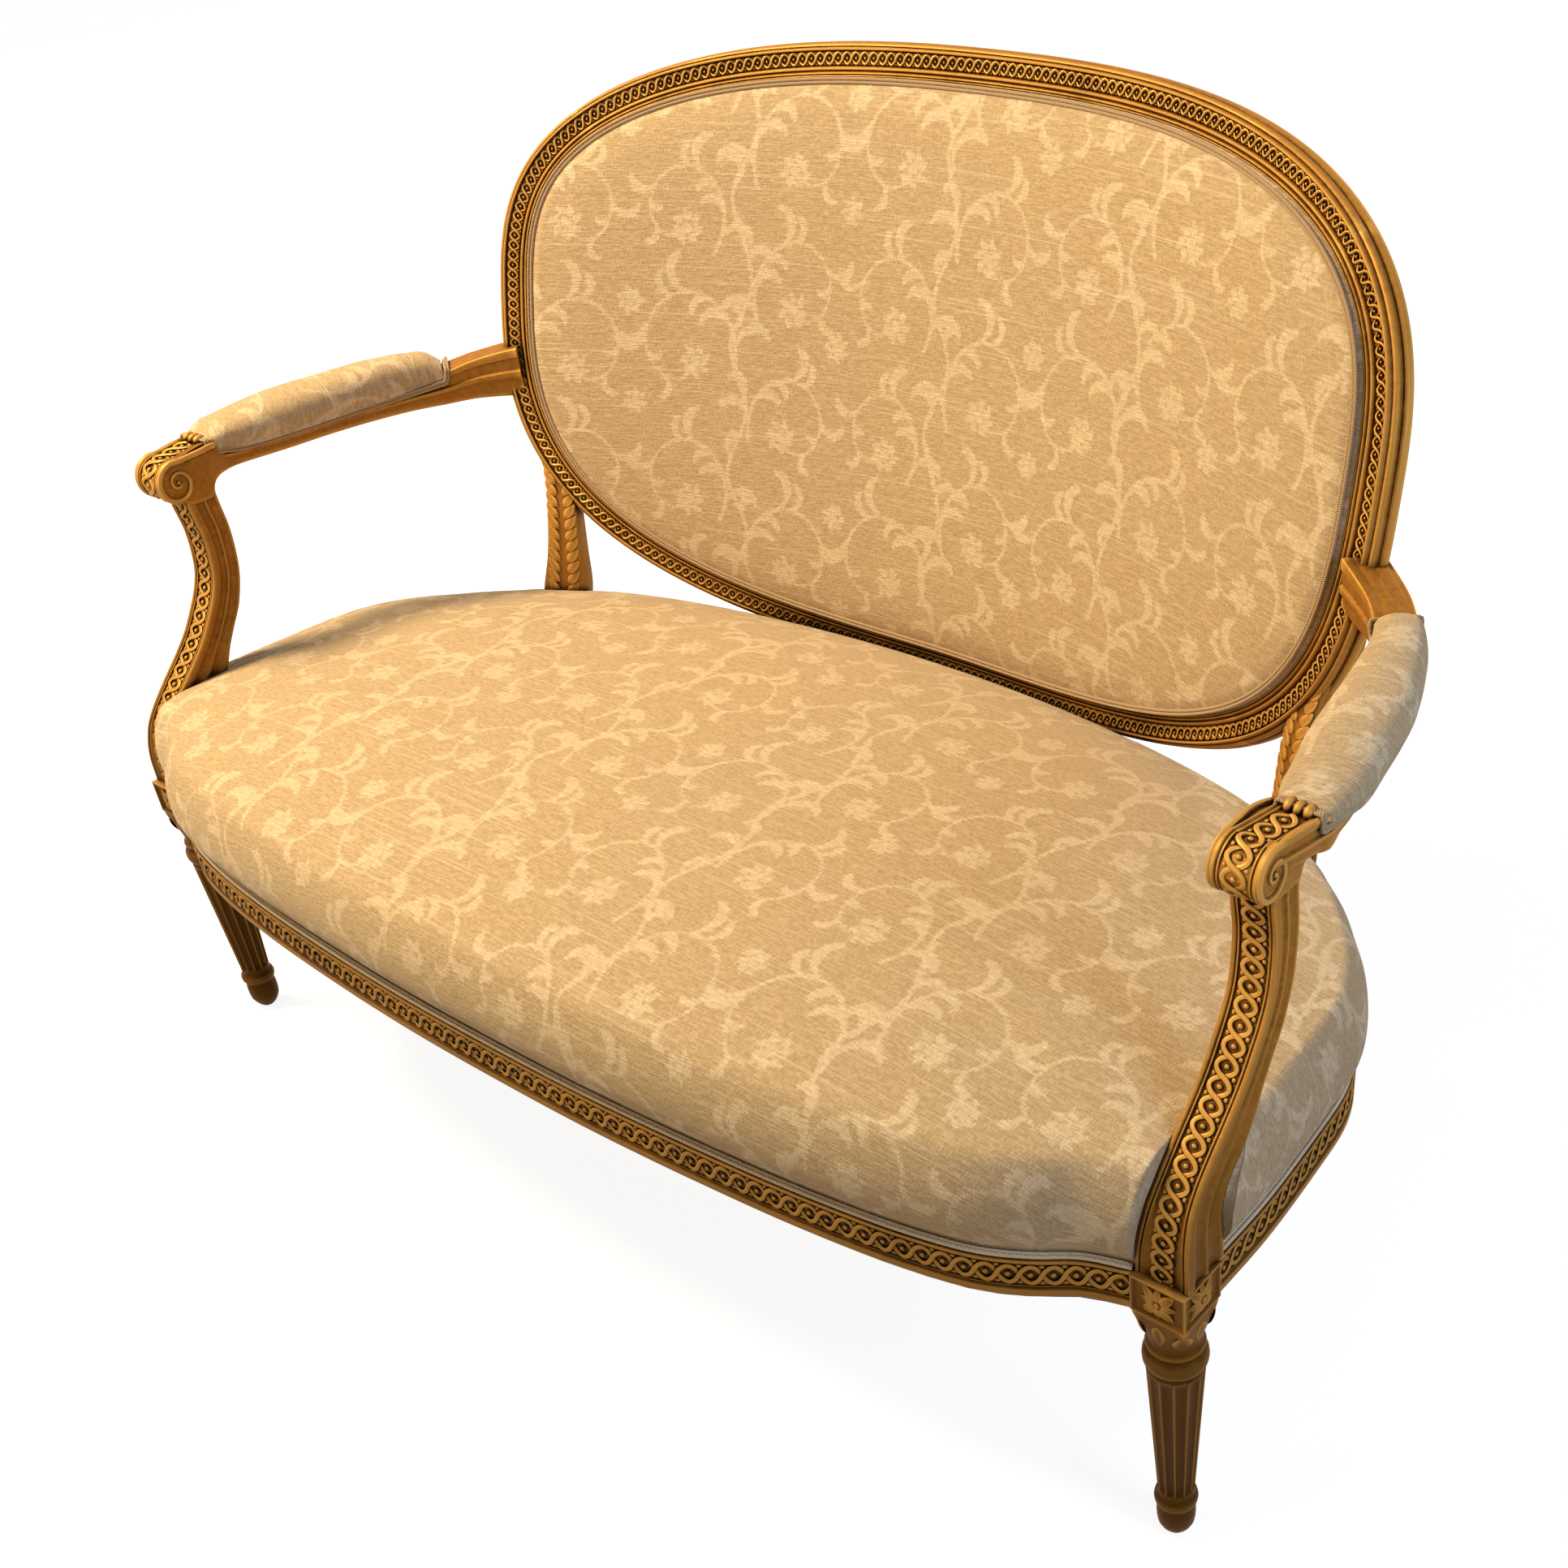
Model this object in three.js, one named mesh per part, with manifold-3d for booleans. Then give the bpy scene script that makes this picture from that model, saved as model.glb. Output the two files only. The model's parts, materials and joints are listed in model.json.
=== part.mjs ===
// Two-seat show-wood settee in the French neoclassical manner: an oval upholstered back that wraps
// forward at its ends, open padded arms on scrolled supports, a domed seat and four turned legs.
// Millimetres, +Z up. The origin lies on the floor under the middle of the settee, -Y is the front.
import * as THREE from 'three'
import { mergeVertices } from 'three/addons/utils/BufferGeometryUtils.js'
import Module from 'manifold-3d'

const wasm = await Module()
wasm.setup()

// Places of the four legs.
const frontLegX = 682
const frontLegY = -302
const legSpacing = 440
const backHalfWidth = 557
const postInset = 42
const rearLegX = backHalfWidth - postInset
const rearLegY = frontLegY + legSpacing
const rearTurnDegrees = 28

// Seat frame.
const railTopZ = 329
const railHeight = 42
const railThickness = 30
const railFillet = 6
const railGroundDepth = 2.5
const rebateWidth = 12
const frontBow = 102.5
const tenonLength = 20
const tenonThickness = 10
const tenonHeight = 26

// Legs.
const blockSize = 52
const blockHeight = 53
const blockChamfer = 5
const neckDrop = 15
const legTopRadius = 27.5
const footRadius = 19
const fluteDepth = 2
const legFlutes = 12

// Arms.
const supportHalfWidth = 20
const supportHollow = 3
const supportStep = 12.5
const supportBaseDepth = 45
const knuckleSetback = 98
const knuckleY = frontLegY + knuckleSetback
const knuckleZ = 655
const knuckleRadius = 24
const knuckleWidth = 41
const armHeight = 30
const armWidth = 36
const armTopZ = 670
const armEndRise = 34
const armEndSetback = 40
const padHeight = 34
const padSkirt = 6
const padWidth = 69
const padFrontSetback = 152
const padRearSetback = 12
const padFrontY = frontLegY + padFrontSetback
const padRearY = rearLegY - padRearSetback

// Back frame.
const backSetback = 209
const backCentreY = rearLegY + backSetback
const backCentreZ = 750
const backRiseAbove = 268.5
const backDropBelow = 361
const backRake = THREE.MathUtils.degToRad(13.65)
const backWrap = 160
const frameOuterStep = 9
const frameFace = 25
const frameRebate = 11
const frameDepth = 22
const frameFillet = 3
const panelCrown = 30
const topJointDegrees = 38
const bottomJointDegrees = -44
const tongueWidth = 20
const tongueThickness = 6
const dowelRadius = 4
const dowelLength = 36
const armDowelDegrees = -8
const postScrewDegrees = -15

// Upholstery.
const seatCrown = 150
const seatWall = 102
const seatBulge = 6
const seatRearDrop = 0.1
const seatDropStartY = frontLegY + legSpacing * 0.64
const seatDropEndY = rearLegY
const gimpWidth = 7
const gimpHeight = 4
const gimpInset = 1
const webWidth = 50
const webThickness = 2.5
const clothThickness = 1.5
const clothInset = 3
const seatWebs = 9
const backWebs = 5
const crossWebs = 3
const layerGap = 1

// Small clearances and overruns.
const gap = 0.3
const overrun = 5
const screwRadius = 2.5
const screwHeadRadius = 4.5
const screwHeadHeight = 2.5
const screwLength = 42
const cornerBlockSize = 42
const cornerBlockHeight = 26
const cornerEase = 9

// Woven webbing and a layer of hessian lie in the rebate of the seat rails.
const rebateDepth = webThickness + clothThickness + 3 * gap

// Materials.
const paint = (color, roughness, metalness) => new THREE.MeshStandardMaterial({ color, roughness, metalness })
const gilt = paint(0xa8772e, 0.42, 0.55)
const beech = paint(0xb48a58, 0.7, 0)
const damask = paint(0xc7a777, 0.85, 0)
const cord = paint(0xd9cdb0, 0.8, 0)
const jute = paint(0x9a7d52, 0.95, 0)
const hessian = paint(0xa98f66, 0.95, 0)
const blackCloth = paint(0x24211f, 0.95, 0)
const steel = paint(0x8d8f92, 0.4, 0.9)

const settee = new THREE.Group()

const addPiece = (name, geometry, material) => {
  geometry.deleteAttribute('uv')
  geometry.computeVertexNormals()
  const mesh = new THREE.Mesh(geometry, material)
  mesh.name = name
  settee.add(mesh)
}

// Solids from rings of points.

const geometryFrom = (points, faces) => {
  const a = new THREE.Vector3()
  let volume = 0
  for (const [i, j, k] of faces) volume += a.crossVectors(points[i], points[j]).dot(points[k])
  const geometry = new THREE.BufferGeometry()
  const places = points.flatMap(p => [p.x, p.y, p.z])
  geometry.setAttribute('position', new THREE.Float32BufferAttribute(places, 3))
  geometry.setIndex(faces.flatMap(([i, j, k]) => (volume > 0 ? [i, j, k] : [i, k, j])))
  return geometry
}

const ringFaces = (start, next, count) => {
  const faces = []
  for (let i = 0; i < count; i++) {
    const j = (i + 1) % count
    faces.push([start + i, start + j, next + j], [start + i, next + j, next + i])
  }
  return faces
}

// A body through a row of equal rings. The end caps are cut as the flat outline is.
const loft = (rings, outline) => {
  const count = outline.length
  const points = rings.flat()
  const faces = []
  for (let r = 0; r < rings.length - 1; r++) faces.push(...ringFaces(r * count, (r + 1) * count, count))
  const last = (rings.length - 1) * count
  const turn = Math.sign(THREE.ShapeUtils.area(outline))
  for (const corners of THREE.ShapeUtils.triangulateShape(outline, [])) {
    const alike = turn * THREE.ShapeUtils.area(corners.map(corner => outline[corner])) > 0
    const [i, j, k] = alike ? corners : [...corners].reverse()
    faces.push([i, k, j], [last + i, last + j, last + k])
  }
  return geometryFrom(points, faces)
}

// A ring-shaped body, such as a cord laid in a closed loop.
const closedLoop = rings => {
  const count = rings[0].length
  const points = rings.flat()
  const faces = []
  rings.forEach((ring, r) => faces.push(...ringFaces(r * count, ((r + 1) % rings.length) * count, count)))
  return geometryFrom(points, faces)
}

// A dome or lens through rings that close on a point at each end.
const dome = (firstPoint, rings, lastPoint) => {
  const count = rings[0].length
  const points = [firstPoint, ...rings.flat(), lastPoint]
  const faces = []
  for (let r = 0; r < rings.length - 1; r++) {
    faces.push(...ringFaces(1 + r * count, 1 + (r + 1) * count, count))
  }
  const last = points.length - 1
  for (let i = 0; i < count; i++) {
    const j = (i + 1) % count
    faces.push([0, 1 + j, 1 + i], [last, last - count + i, last - count + j])
  }
  return geometryFrom(points, faces)
}

const toSolid = geometry => {
  const bare = geometry.index ? geometry.clone() : geometry
  bare.deleteAttribute('normal')
  bare.deleteAttribute('uv')
  const merged = mergeVertices(bare, 1e-4)
  return new wasm.Manifold(new wasm.Mesh({
    numProp: 3,
    vertProperties: merged.attributes.position.array,
    triVerts: new Uint32Array(merged.index.array),
  }))
}

const fromSolid = solid => {
  const mesh = solid.getMesh()
  const geometry = new THREE.BufferGeometry()
  geometry.setAttribute('position', new THREE.BufferAttribute(new Float32Array(mesh.vertProperties), 3))
  geometry.setIndex([...mesh.triVerts])
  return geometry
}

const box = (x0, x1, y0, y1, z0, z1) => {
  const geometry = new THREE.BoxGeometry(x1 - x0, y1 - y0, z1 - z0)
  return geometry.translate((x0 + x1) / 2, (y0 + y1) / 2, (z0 + z1) / 2)
}

const boxAt = (x, y, z, sizeX, sizeY, sizeZ) =>
  new THREE.BoxGeometry(sizeX, sizeY, sizeZ).translate(x, y, z)

const join = (...geometries) => geometries.map(toSolid).reduce((whole, next) => whole.add(next))
const cut = (solid, ...cutters) => cutters.reduce((whole, next) => whole.subtract(toSolid(next)), solid)

const mirrored = geometry => {
  const copy = geometry.clone()
  copy.scale(-1, 1, 1)
  const index = [...copy.index.array]
  for (let i = 0; i < index.length; i += 3) [index[i + 1], index[i + 2]] = [index[i + 2], index[i + 1]]
  copy.setIndex(index)
  return copy
}

const addPair = (name, geometry, material) => {
  addPiece(`${name}_right`, geometry, material)
  addPiece(`${name}_left`, mirrored(geometry), material)
}

const lerp = THREE.MathUtils.lerp
const planPoint = (x, y) => new THREE.Vector3(x, y, 0)
const smoothPlan = points => new THREE.CatmullRomCurve3(points, false, 'centripetal')

const squareTo = tangent => new THREE.Vector3(tangent.y, -tangent.x, 0)

// Seat rails: their outer faces in plan.

const blockHalf = blockSize / 2
const frontSpan = frontLegX - blockHalf
const frontFaceY = frontLegY - blockHalf + railGroundDepth
const frontBowShares = [[0, 1], [0.2, 0.984], [0.4, 0.92], [0.58, 0.825], [0.73, 0.69], [0.83, 0.53],
  [0.89, 0.34], [0.94, 0.13], [1, 0]]
const frontOuter = smoothPlan([
  ...frontBowShares.slice(1).reverse().map(([x, bow]) => planPoint(-x * frontSpan, frontFaceY - bow * frontBow)),
  ...frontBowShares.map(([x, bow]) => planPoint(x * frontSpan, frontFaceY - bow * frontBow)),
])

// The rear blocks and posts are turned to follow the curve of the seat: in their own frame X runs
// along the rails, away from the middle, and Y runs outwards.
const rearTurn = THREE.MathUtils.degToRad(rearTurnDegrees)
const atRearLeg = geometry => geometry.rotateZ(-rearTurn).translate(rearLegX, rearLegY, 0)
const rearPlace = (along, out) => planPoint(along, out)
  .applyAxisAngle(new THREE.Vector3(0, 0, 1), -rearTurn).add(planPoint(rearLegX, rearLegY))
const rearOutwards = rearPlace(0, 1).sub(rearPlace(0, 0))
const rearMeet = blockHalf + gap
const rearFace = blockHalf - railGroundDepth

const sideStartX = frontLegX + blockHalf - railGroundDepth
const sideStartY = frontLegY + blockHalf
const seatDepth = rearLegY - frontLegY
// Half width and depth of the seat plan, as shares of its half width and of the distance between the legs.
const sidePlanShares = [
  [1, 0.227], [0.991, 0.432], [0.982, 0.564], [0.972, 0.625], [0.959, 0.675], [0.94, 0.731], [0.916, 0.789],
  [0.886, 0.848], [0.846, 0.924], [0.805, 0.983],
]
const backPlanShares = [[0.638, 1.132], [0.553, 1.175], [0.451, 1.212], [0.369, 1.234], [0.185, 1.266], [0, 1.277]]
const seatPoint = ([x, y]) => planPoint(x * sideStartX, frontLegY + y * seatDepth)
const sideOuter = smoothPlan([
  planPoint(sideStartX, sideStartY), ...sidePlanShares.map(seatPoint), rearPlace(rearMeet, rearFace),
])
const backRightHalf = [rearPlace(-rearMeet, rearFace), ...backPlanShares.map(seatPoint)]
const backOuter = smoothPlan([
  ...backRightHalf, ...backRightHalf.slice(0, -1).reverse().map(p => planPoint(-p.x, p.y)),
])

const railBottomZ = railTopZ - railHeight
const railOutline = [
  [-railThickness, 0], [0, 0], [0, railFillet], [-railGroundDepth, railFillet],
  [-railGroundDepth, railHeight - railFillet], [0, railHeight - railFillet], [0, railHeight],
  [rebateWidth - railThickness, railHeight], [rebateWidth - railThickness, railHeight - rebateDepth],
  [-railThickness, railHeight - rebateDepth],
].map(([out, up]) => new THREE.Vector2(out, up))

// Places and outward directions along a plan curve, square to the blocks at both ends.
const stationsAlong = (curve, count, endNormals) => {
  const places = curve.getPoints(count)
  return places.map((place, i) => {
    const before = places[Math.max(i - 1, 0)]
    const after = places[Math.min(i + 1, count)]
    const along = after.clone().sub(before).normalize()
    const normal = new THREE.Vector3(along.y, -along.x, 0)
    if (i === 0) normal.copy(endNormals[0])
    if (i === count) normal.copy(endNormals[1])
    return { place, normal }
  })
}

const railSolid = (curve, count, endNormals) => {
  const rings = stationsAlong(curve, count, endNormals).map(({ place, normal }) =>
    railOutline.map(p => place.clone().addScaledVector(normal, p.x).setZ(railBottomZ + p.y)))
  return loft(rings, railOutline)
}

const towards = (x, y) => new THREE.Vector3(x, y, 0)
const frontEnds = [towards(0, -1), towards(0, -1)]
const sideEnds = [towards(1, 0), rearOutwards]
const backEnds = [rearOutwards, towards(-rearOutwards.x, rearOutwards.y)]

// Tenons lie halfway up the rail, in the middle of its thickness.
const tenonZ = railBottomZ + (railHeight - rebateDepth) / 2
const tenonSet = railThickness / 2
const frontTenonY = frontFaceY + tenonSet
const frontTenon = (side, grow) => boxAt(
  side * (frontSpan + tenonLength / 2 - (overrun - grow) / 2), frontTenonY, tenonZ,
  tenonLength + overrun + grow, tenonThickness + 2 * grow, tenonHeight + 2 * grow,
)
// The side rails' tenons at the front are short, as the front rail's tenons lie behind them.
const sideTenonLength = tenonLength * 0.5
const sideFrontTenon = grow => boxAt(
  sideStartX - tenonSet, sideStartY - sideTenonLength / 2 + (overrun - grow) / 2, tenonZ,
  tenonThickness + 2 * grow, sideTenonLength + overrun + grow, tenonHeight + 2 * grow,
)
// At a rear block the side rail enters on one side and the back rail on the other.
const rearTenon = (way, grow) => atRearLeg(boxAt(
  way * (blockHalf - tenonLength / 2 + (overrun - grow) / 2), rearFace - tenonSet, tenonZ,
  tenonLength + overrun + grow, tenonThickness + 2 * grow, tenonHeight + 2 * grow,
))

const frontRailSteps = 30
const sideRailSteps = 11
const backRailSteps = 12

const addSeatRails = () => {
  const front = join(railSolid(frontOuter, frontRailSteps, frontEnds), frontTenon(1, 0), frontTenon(-1, 0))
  addPiece('seat_rail_front', fromSolid(front), gilt)
  const back = join(railSolid(backOuter, backRailSteps, backEnds), rearTenon(-1, 0), mirrored(rearTenon(-1, 0)))
  addPiece('seat_rail_back', fromSolid(back), beech)
  const side = join(railSolid(sideOuter, sideRailSteps, sideEnds), sideFrontTenon(0), rearTenon(1, 0))
  addPair('seat_rail', fromSolid(side), gilt)
}

// Legs.

const blockBottomZ = railTopZ - blockHeight
// Radius, height and whether the flutes run there, from the foot to the neck under the block.
const legProfileShares = [
  [0.27, 0], [0.6, 0.052], [0.635, 0.095], [0.61, 0.138], [footRadius / legTopRadius, 0.162],
  [footRadius / legTopRadius, 0.188], [0.6, 0.202], [0.605, 0.226, true], [0.885, 0.762, true],
  [0.945, 0.792], [0.945, 0.812], [0.86, 0.828], [0.87, 0.845], [1, 0.866], [1, 0.89], [0.84, 0.913], [0.8, 1.02],
]

const turnedLeg = (x, y) => {
  const steps = 2 * legFlutes
  const rings = legProfileShares.map(([radius, height, fluted]) => Array.from({ length: steps }, (_, i) => {
    const reach = radius * legTopRadius - (fluted && i % 2 ? fluteDepth : 0)
    const angle = 2 * Math.PI * (i + 0.5) / steps
    return new THREE.Vector3(x + reach * Math.cos(angle), y + reach * Math.sin(angle), height * blockBottomZ)
  }))
  const centre = height => new THREE.Vector3(x, y, height)
  return dome(centre(0), rings, centre(rings.at(-1)[0].z))
}

const squareOutline = [[-1, -1], [1, -1], [1, 1], [-1, 1]].map(([x, y]) => new THREE.Vector2(x, y))

const legBlock = (x, y) => loft([
  [blockHalf - blockChamfer, blockBottomZ - neckDrop],
  [blockHalf - blockChamfer / 2, blockBottomZ - neckDrop / 3],
  [blockHalf, blockBottomZ],
  [blockHalf, railTopZ],
].map(([half, z]) => squareOutline.map(p => new THREE.Vector3(x + p.x * half, y + p.y * half, z))), squareOutline)

// Arm supports: S-shaped, seen from the side, on the front blocks.

const supportTopZ = knuckleZ
const supportFrontY = frontLegY - blockHalf + supportStep
const supportLean = 120
// Height, front edge and back edge, as shares of the rise and of the lean.
const supportShares = [
  [0, 0, 0.375], [0.095, 0.008, 0.375], [0.156, 0.025, 0.395], [0.218, 0.067, 0.5], [0.279, 0.175, 0.7],
  [0.34, 0.333, 0.817], [0.402, 0.508, 0.9], [0.463, 0.663, 1], [0.525, 0.783, 1.11],
  [0.586, 0.887, 1.183], [0.647, 0.958, 1.233], [0.709, 0.987, 1.258], [0.8, 0.995, 1.27],
  [0.893, 0.96, 1.25], [1, 0.95, 1.24],
]
const hollowShare = 1 - supportHollow / supportHalfWidth
const supportOutline = [
  [-1, 0], [1, 0], [1, 0.2], [hollowShare, 0.32], [hollowShare, 0.68], [1, 0.8],
  [1, 1], [-1, 1], [-1, 0.8], [-hollowShare, 0.68], [-hollowShare, 0.32], [-1, 0.2],
].map(([across, deep]) => new THREE.Vector2(across, deep))

const supportPlace = ([up, front, back]) => ({
  z: lerp(railTopZ, supportTopZ, up),
  front: supportFrontY + front * supportLean,
  back: supportFrontY + back * supportLean,
})

const supportBody = () => loft(supportShares.map(share => {
  const { z, front, back } = supportPlace(share)
  return supportOutline.map(p => new THREE.Vector3(frontLegX + p.x * supportHalfWidth, lerp(front, back, p.y), z))
}), supportOutline)

const supportTenonY = supportFrontY + supportBaseDepth * 0.45
const supportTenon = grow => boxAt(
  frontLegX, supportTenonY, railTopZ - (tenonLength - overrun + grow) / 2,
  tenonThickness + 2 * grow, tenonThickness + 2 * grow, tenonLength + overrun + grow,
)
const supportTopTenonY = supportFrontY + supportLean * 1.1
const supportTopTenon = grow => boxAt(
  frontLegX, supportTopTenonY, knuckleZ - knuckleRadius * 0.35,
  tenonThickness + 2 * grow, tenonThickness + 2 * grow, knuckleRadius * 1.3 + 2 * grow,
)

// The oval back frame: an egg-like outline, raked and wrapped forward at its ends.

const roundnessAbove = 3.05
const roundnessBelow = 2.52
const wrapRate = backWrap / backHalfWidth ** 2
const signedPower = (value, power) => Math.sign(value) * Math.abs(value) ** power

const ovalPlan = (angle, out) => {
  const [c, s] = [Math.cos(angle), Math.sin(angle)]
  const [n, rise] = s > 0 ? [roundnessAbove, backRiseAbove] : [roundnessBelow, backDropBelow]
  const u = backHalfWidth * signedPower(c, 2 / n)
  const v = rise * signedPower(s, 2 / n)
  const normal = new THREE.Vector2(
    signedPower(u / backHalfWidth, n - 1) / backHalfWidth,
    signedPower(v / rise, n - 1) / rise,
  ).normalize()
  return new THREE.Vector2(u, v).addScaledVector(normal, out)
}

const onBackSurface = ({ x: u, y: v }, depth) => {
  const place = new THREE.Vector3(
    u,
    backCentreY + v * Math.sin(backRake) - wrapRate * u * u,
    backCentreZ + v * Math.cos(backRake),
  )
  const behind = new THREE.Vector3(2 * wrapRate * u * Math.cos(backRake), Math.cos(backRake), -Math.sin(backRake))
  return place.addScaledVector(behind.normalize(), depth)
}

const backPoint = (angle, out, depth) => onBackSurface(ovalPlan(angle, out), depth)

// Angles between two ends, spaced evenly along the outline.
const spacedAngles = (start, end, count) => {
  const fine = 600
  const lengths = [0]
  for (let i = 1; i <= fine; i++) {
    const a = backPoint(lerp(start, end, (i - 1) / fine), 0, 0)
    const b = backPoint(lerp(start, end, i / fine), 0, 0)
    lengths.push(lengths[i - 1] + a.distanceTo(b))
  }
  return Array.from({ length: count + 1 }, (_, step) => {
    const wanted = lengths[fine] * step / count
    const after = Math.max(1, lengths.findIndex(length => length >= wanted - 1e-9))
    const share = (wanted - lengths[after - 1]) / (lengths[after] - lengths[after - 1])
    return lerp(start, end, (after - 1 + share) / fine)
  })
}

const frameInner = -frameFace
const frameBackEdge = -(frameFace + frameRebate)
// The lip inside the frame: webbing lies on its front ledge, the outside back on its rear one.
const backLedge = frameDepth * 0.4
const rearLedge = frameDepth * 0.78
const rearRebate = -frameFace * 0.6
const frameOutline = [
  [0, 0], [-frameFillet, 0], [-frameFillet * 1.5, railGroundDepth], [-frameFace * 0.56, railGroundDepth],
  [-frameFace * 0.62, -frameFillet / 3], [frameInner, -frameFillet], [frameInner, backLedge],
  [frameBackEdge, backLedge], [frameBackEdge, rearLedge], [rearRebate, rearLedge], [rearRebate, frameDepth * 0.93],
  [frameOuterStep, frameDepth], [frameOuterStep, frameDepth * 0.65], [frameOuterStep / 3, frameDepth * 0.23],
].map(([out, deep]) => new THREE.Vector2(out, deep))

const frameCutterOutline = [
  [frameBackEdge - gap, -frameFillet - gap], [frameOuterStep + gap, -frameFillet - gap],
  [frameOuterStep + gap, frameDepth + gap], [frameBackEdge - gap, frameDepth + gap],
].map(([out, deep]) => new THREE.Vector2(out, deep))

const frameLength = (outline, angles) => loft(
  angles.map(angle => outline.map(p => backPoint(angle, p.x, p.y))),
  outline,
)

const topJoint = THREE.MathUtils.degToRad(topJointDegrees)
const bottomJoint = THREE.MathUtils.degToRad(bottomJointDegrees)
const backJoints = [topJoint, Math.PI - topJoint, Math.PI - bottomJoint, 2 * Math.PI + bottomJoint]
// A loose tongue crosses each of the four joints, flat in the thickness of the frame.
const tongueOut = (frameBackEdge + frameOuterStep) / 2
const dowelDepth = (backLedge + rearLedge) / 2

const jointTongue = (angle, grow) => {
  const nearby = 0.01
  const place = backPoint(angle, tongueOut, dowelDepth)
  const along = backPoint(angle + nearby, tongueOut, dowelDepth)
    .sub(backPoint(angle - nearby, tongueOut, dowelDepth)).normalize()
  const across = backPoint(angle, tongueOut + 1, dowelDepth).sub(place)
  across.addScaledVector(along, -across.dot(along)).normalize()
  const turn = new THREE.Matrix4().makeBasis(across, along, across.clone().cross(along))
  return new THREE.BoxGeometry(tongueWidth + 2 * grow, dowelLength + 2 * grow, tongueThickness + 2 * grow)
    .applyMatrix4(turn).translate(place.x, place.y, place.z)
}

const frameLengths = [
  ['back_top_rail', backJoints[0], backJoints[1], 18],
  ['back_stile_left', backJoints[1], backJoints[2], 12],
  ['back_bottom_rail', backJoints[2], backJoints[3], 16],
  ['back_stile_right', backJoints[3], backJoints[0] + 2 * Math.PI, 12],
].map(([name, start, end, count]) => ({ name, angles: spacedAngles(start, end, count) }))
// Neighbouring lengths stand a hair apart where their ends meet.
const endTrim = gap / 2 / backRiseAbove
const trimmedEnds = angles => [angles[0] + endTrim, ...angles.slice(1, -1), angles.at(-1) - endTrim]
const frameAngles = frameLengths.flatMap(({ angles }) => angles.slice(0, -1))
const cutterFor = ({ angles }) => frameLength(frameCutterOutline, angles)
const allFrameCutters = () => frameLengths.map(cutterFor)
const rightStileCutter = () => cutterFor(frameLengths[3])
// The room taken by the stile and by the panel beside it.
const panelReach = 3 * frameBackEdge
const rightPanelRoom = () => frameLength(frameCutterOutline.map(p => new THREE.Vector2(
  p.x < frameBackEdge ? panelReach : p.x, p.y)), frameLengths[3].angles)

// Back posts, which rise from the rear blocks and pass behind the oval frame.

const postTopZ = 645
const postShift = 24
const postLean = 65
const postWidth = 42
const postDepth = 28
// Height, shift towards the middle, lean outwards, width and depth.
const postShares = [
  [0, 0, 0, 1.167, 1.75], [0.066, 0.095, 0.034, 1.167, 1.6], [0.177, 0.27, 0.121, 1.2, 1.36],
  [0.288, 0.46, 0.223, 1.36, 1.14], [0.43, 0.7, 0.337, 1.1, 1.07], [0.573, 0.85, 0.452, 0.95, 1],
  [0.731, 0.85, 0.673, 0.87, 1], [0.858, 0.72, 0.874, 0.84, 1], [1, 0.74, 0.99, 0.8, 0.93],
]
const postRing = ([up, shift, lean, width, depth], grow, reach) => squareOutline.map(p => new THREE.Vector3(
  -shift * postShift + p.x * (width * postWidth / 2 + grow),
  lean * postLean + (p.y < 0 ? -depth * postDepth / 2 - grow : depth * postDepth / 2 + reach),
  lerp(railTopZ, postTopZ, up),
))
const postLoft = (grow, reach) => {
  const rings = postShares.map(share => postRing(share, grow, reach))
  const foot = rings[0].map(p => p.clone().setZ(railTopZ - overrun))
  return atRearLeg(loft([foot, ...rings], squareOutline))
}

const addLegs = () => {
  const frontSolid = cut(
    join(turnedLeg(frontLegX, frontLegY), legBlock(frontLegX, frontLegY)),
    frontTenon(1, gap), sideFrontTenon(gap), supportTenon(gap),
  ).subtract(cornerScrew(gap))
  addPair('front_leg', fromSolid(frontSolid), gilt)
  const rearSolid = cut(
    join(atRearLeg(turnedLeg(0, 0)), atRearLeg(legBlock(0, 0)), postLoft(0, 0)),
    rearTenon(-1, gap), rearTenon(1, gap), rightPanelRoom(),
  ).subtract(screw(postScrewHead, postScrewTip, gap, screwLength))
  addPair('rear_leg_and_post', fromSolid(rearSolid), gilt)
}

// A rod between two points of the frame, with a wider head at its start where it is a screw.
const rodBetween = (from, to, radius, segments) => {
  const length = from.distanceTo(to)
  const turn = new THREE.Quaternion().setFromUnitVectors(new THREE.Vector3(0, 1, 0), to.clone().sub(from).normalize())
  const middle = from.clone().add(to).divideScalar(2)
  return new THREE.CylinderGeometry(radius, radius, length, segments)
    .applyQuaternion(turn).translate(middle.x, middle.y, middle.z)
}
const further = (from, to, distance) => to.clone().sub(from).normalize().multiplyScalar(distance).add(to)

// A dowel joins the end of each arm to the stile.
const armDowelAngle = THREE.MathUtils.degToRad(armDowelDegrees)
const armDowel = grow => {
  const [inside, outside] = [-1, 1].map(way =>
    backPoint(armDowelAngle, frameOuterStep + way * (dowelLength / 2 + grow), dowelDepth))
  return rodBetween(inside, outside, dowelRadius + grow, 8)
}

// A screw runs from behind through each back post into the stile.
const postScrewAngle = THREE.MathUtils.degToRad(postScrewDegrees)
const postScrewOut = -frameFace / 2
const postScrewTip = backPoint(postScrewAngle, postScrewOut, frameDepth / 2)
const postScrewHead = backPoint(postScrewAngle, postScrewOut, frameDepth / 2 + screwLength * 0.8)
const screw = (head, tip, grow, headRoom) => join(
  rodBetween(head, further(head, tip, grow), screwRadius + grow, 6),
  rodBetween(further(tip, head, screwHeadHeight + grow + headRoom), further(head, head.clone().lerp(tip, 0.01), grow),
    screwHeadRadius + grow, 8),
)

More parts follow.
